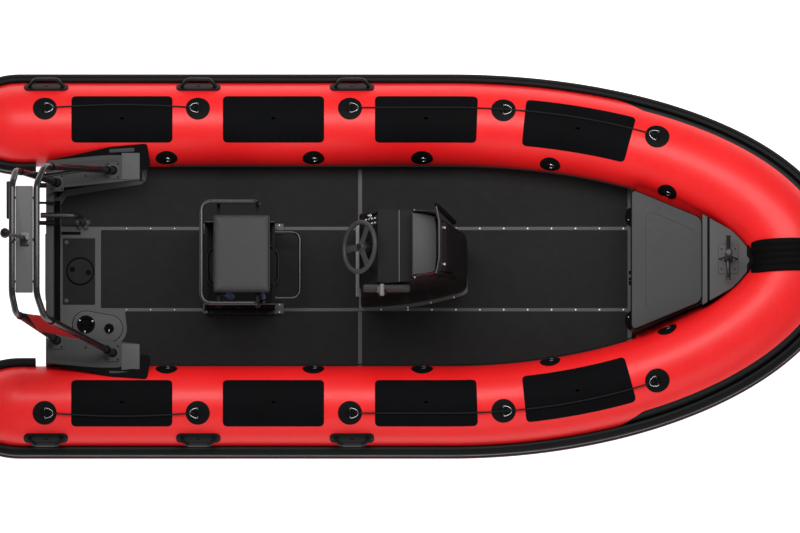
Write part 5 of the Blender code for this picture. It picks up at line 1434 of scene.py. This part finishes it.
def bow_infill():
    """Red fabric skirts that close the gap between the tubes and the bow fittings: at
    each station a parabola that leaves the tube along its skin and ends upright beside
    the fittings, a little above the tube's widest level."""
    stations = np.concatenate([np.linspace(1.51, 1.93, 22), np.linspace(1.935, 2.262, 20)])
    lid = np.interp(stations, LID_X, (0.464, 0.277))
    edge = np.where(stations < 1.932, lid, inner_edge(stations) + 0.0015)
    heights = np.linspace(0.60, 0.90, 31)
    skin = np.stack([clear_half(stations, z, -0.003) for z in heights], 1)
    steps = 13
    share = np.linspace(0, 1, steps)
    first, middle, last = (1 - share) ** 2, 2 * share * (1 - share), share ** 2
    rows = []
    for x, y_end, line in zip(stations, edge, skin):
        level, line = heights[line > 0.05], line[line > 0.05]
        base = level[np.argmin(line)]
        y_end = min(y_end, line.min() + 0.010)
        slope = np.maximum(np.gradient(line, level), 0.02)
        drop = level - (line - y_end) / slope
        ready = np.flatnonzero((drop >= base) & (level > base + 0.02))
        start = ready[0] if len(ready) else len(level) - 1
        middle_z = np.clip(drop[start], base, level[start])
        rows.append(np.stack([np.full(steps, x), first * line[start] + (1 - first) * y_end,
                              first * level[start] + middle * middle_z + last * base], 1))
    top = np.array(rows)
    ring = np.concatenate([top, top[:, ::-1] + [0, 0.002, -0.004]], 1)
    for side, word in ((1, "port"), (-1, "starboard")):
        piece(f"bow_skirt_{word}", [grid(ring * [1, side, 1])], RED_FABRIC)


def bow_locker():
    """Locker body, the black seal under its lid, the lid with a creased line along a
    bent route, feet on the deck, latches, and the fixed strip by the hinge."""
    dress(GREY_PAINT, "bow_locker")
    piece("locker_seal", [slab(lid_plan(0.04, 0.007), 0.7903, 0.7925, 0.001)], DULL_BLACK)
    lid = slab(lid_plan(0.042), 0.7932, LID_TOP_Z, 0.005, 0.002)
    piece("locker_lid_moulding", [lid], LID_GREY, "locker_lid",
          ["bow_locker_lid"])
    crease = bend([(1.87, 0.193, LID_TOP_Z), (1.572, 0.325, LID_TOP_Z), (1.572, -0.300, LID_TOP_Z),
                   (1.60, -0.318, LID_TOP_Z)], 0.05, 10)
    piece("locker_lid_crease", [tube(crease, 0.0017, 8, flat=0.5)], RECESS_GREY, "locker_lid")
    a = np.linspace(-np.pi / 2, np.pi / 2, 22)
    feet = []
    for side in (-1, 1):
        plan = np.stack([1.4815 - 0.040 * np.cos(a), side * 0.335 - 0.060 * np.sin(a)], -1)
        feet.append(slab(plan, PAD_TOP_Z + GAP, 0.430, 0.006))
    piece("locker_feet", feet, DULL_BLACK)
    dots = [screw_head((1.462, s * 0.315, 0.430), 0.004) for s in (-1, 1)]
    piece("locker_foot_screws", dots, SCREW)
    latches = [block((1.463, y - w, 0.744), (1.4812, y + w, 0.786), 0.003)
               for y, w in ((-0.078, 0.010), (-0.118, 0.007), (-0.145, 0.012))]
    piece("locker_latches", latches, DULL_BLACK)
    stations = np.linspace(1.9345, 1.966, 4)
    edge = list(zip(stations, inner_edge(stations)))
    strip = outline(edge + [(x, -y) for x, y in reversed(edge)], 0.003, 2)
    piece("locker_hinge_strip", [slab(strip, 0.7935, 0.826, 0.0015, 0.001)], GREY_PAINT)
    stations = np.linspace(1.9665, 1.9785, 3)
    edge = list(zip(stations, inner_edge(stations)))
    seal = outline(edge + [(x, -y) for x, y in reversed(edge)], 0.002, 2)
    piece("bow_deck_seal", [slab(seal, 0.795, 0.8285, 0.001)], DULL_BLACK)


def bow_deck_and_post():
    """Bow deck cut to the tubes, and the mooring post: turned shaft with a cap, a low
    cross bar with turned ends, two struts and a base plate with four screws."""
    stations = np.linspace(1.9795, 2.235, 22)
    edge = list(zip(stations, np.minimum(clear_half(stations, 0.80, 0.004),
                                         inner_edge(stations))))
    plan = outline(edge + [(x, -y) for x, y in reversed(edge)], 0.006, 3)
    piece("bow_deck_moulding", [slab(plan, 0.80, BOW_DECK_TOP_Z, 0.003, 0.003)], GREY_PAINT,
          stands_for=["bow_deck"])
    low_z = BOW_DECK_TOP_Z + GAP
    base = slab(rectangle((POST_X - 0.063, -0.095), (POST_X + 0.063, 0.095), 0.008), low_z,
                low_z + 0.004, 0.0015)
    piece("post_base", [base], GREY_PAINT)
    joint = slab(rectangle((POST_X - 0.065, -0.097), (POST_X + 0.065, 0.097), 0.009),
                 low_z - 0.0006, low_z + 0.0010)
    piece("post_base_joint", [joint], BLACK_PLASTIC)
    upright = axes((POST_X, 0, low_z), (0, 0, 1))
    top = POST_TOP_Z - low_z
    shaft = turned([(0.0, top), (0.017, top), (0.0235, top - 0.004), (0.025, top - 0.009),
                    (0.0225, top - 0.014), (0.0225, 0.010), (0.027, 0.004), (0.027, 0.0),
                    (0.0, 0.0)], upright, 40)
    across = axes((POST_X, -0.142, POST_BAR_Z), (0, 1, 0))
    bar = turned([(0.0, 0.0), (0.014, 0.0), (0.0165, 0.003), (0.0165, 0.007), (0.0130, 0.012),
                  (0.0130, 0.272), (0.0165, 0.277), (0.0165, 0.281), (0.014, 0.284), (0.0, 0.284)],
                 across, 28)
    struts = [rod((POST_X + s * 0.058, 0, low_z + 0.004), (POST_X + s * 0.012, 0, low_z + 0.115),
                  0.0055, 14) for s in (-1, 1)]
    piece("mooring_post", [shaft, bar, *struts], RAIL_BLACK,
          stands_for=["samson_post"])
    cap = turned([(0.0, top + 0.0012), (0.0165, top + 0.0010), (0.0175, top - 0.0005),
                  (0.0, top - 0.001)], upright, 32)
    piece("mooring_post_cap", [cap], GREY_PAINT)
    heads = [screw_head((POST_X + dx, dy, low_z + 0.004), 0.006)
             for dx in (-0.044, 0.044) for dy in (-0.065, 0.065)]
    piece("post_base_screws", heads, BLACK_METAL)


# ---------------------------------------------------------------- the stage

def stage():
    """Pale floor, two broad soft lights and the camera high over the boat."""
    bpy.ops.mesh.primitive_plane_add(size=60.0, location=(0, 0, -0.002))
    floor = bpy.context.object
    floor.name = "floor"
    paper = bpy.data.materials.new("pale_floor")
    paper.use_nodes = True
    shader = paper.node_tree.nodes["Principled BSDF"]
    shader.inputs["Base Color"].default_value = (0.92, 0.92, 0.92, 1)
    shader.inputs["Roughness"].default_value = 0.9
    shader.inputs["Emission Color"].default_value = (1, 1, 1, 1)
    shader.inputs["Emission Strength"].default_value = 0.95
    floor.data.materials.append(paper)
    for name, place, size, power in (("overhead", (0.0, 1.6, 5.5), (7.0, 2.2), 240.0),
                                     ("side", (1.0, -5.5, 4.5), (6.0, 3.0), 72.0)):
        light = bpy.data.lights.new(name, "AREA")
        light.shape = "RECTANGLE"
        light.size, light.size_y = size
        light.energy = power
        lamp = bpy.data.objects.new(name, light)
        lamp.location = place
        aim = -np.array(place) + [0, 0, 0.5]
        lamp.rotation_euler = (math.atan2(aim[1], -aim[2]), 0.0, 0.0)
        bpy.context.scene.collection.objects.link(lamp)
    world = bpy.data.worlds.new("soft_room")
    world.use_nodes = True
    world.node_tree.nodes["Background"].inputs["Color"].default_value = (1, 1, 1, 1)
    world.node_tree.nodes["Background"].inputs["Strength"].default_value = 0.33
    bpy.context.scene.world = world
    bpy.context.scene.view_settings.view_transform = "Standard"


def camera():
    """A very long lens 81.5 degrees above the horizon, looking from starboard, that
    takes in 5.12 m across the boat's middle."""
    height, distance = math.radians(81.5), 400.0
    lens = bpy.data.cameras.new("camera")
    lens.sensor_width = 12.0
    lens.lens = lens.sensor_width * distance / 5.12
    lens.clip_start = 1.0
    lens.clip_end = 1500.0
    eye = bpy.data.objects.new("camera", lens)
    eye.location = (0.0, -distance * math.cos(height), 0.51 + distance * math.sin(height))
    eye.rotation_euler = (math.pi / 2 - height, 0.0, 0.0)
    bpy.context.scene.collection.objects.link(eye)
    bpy.context.scene.camera = eye


camera()
lifelines()
stage()
collar_skins()
strakes()
bow_bands()
bow_guard()
tread_patches()
ring_patches()
grab_handles()
hull_moulding()
transom_board()
deck_coverings()
quarter_boxes()
stern_arch()
light_mast()
conduit_and_sockets()
hatch_and_fillers()
seat_fixed_frame()
seat_springs()
seat_rails()
cushion()
console_shell()
dash_controls()
shelf_and_screen()
helm()
throttle_and_key()
bow_locker()
bow_infill()
bow_deck_and_post()
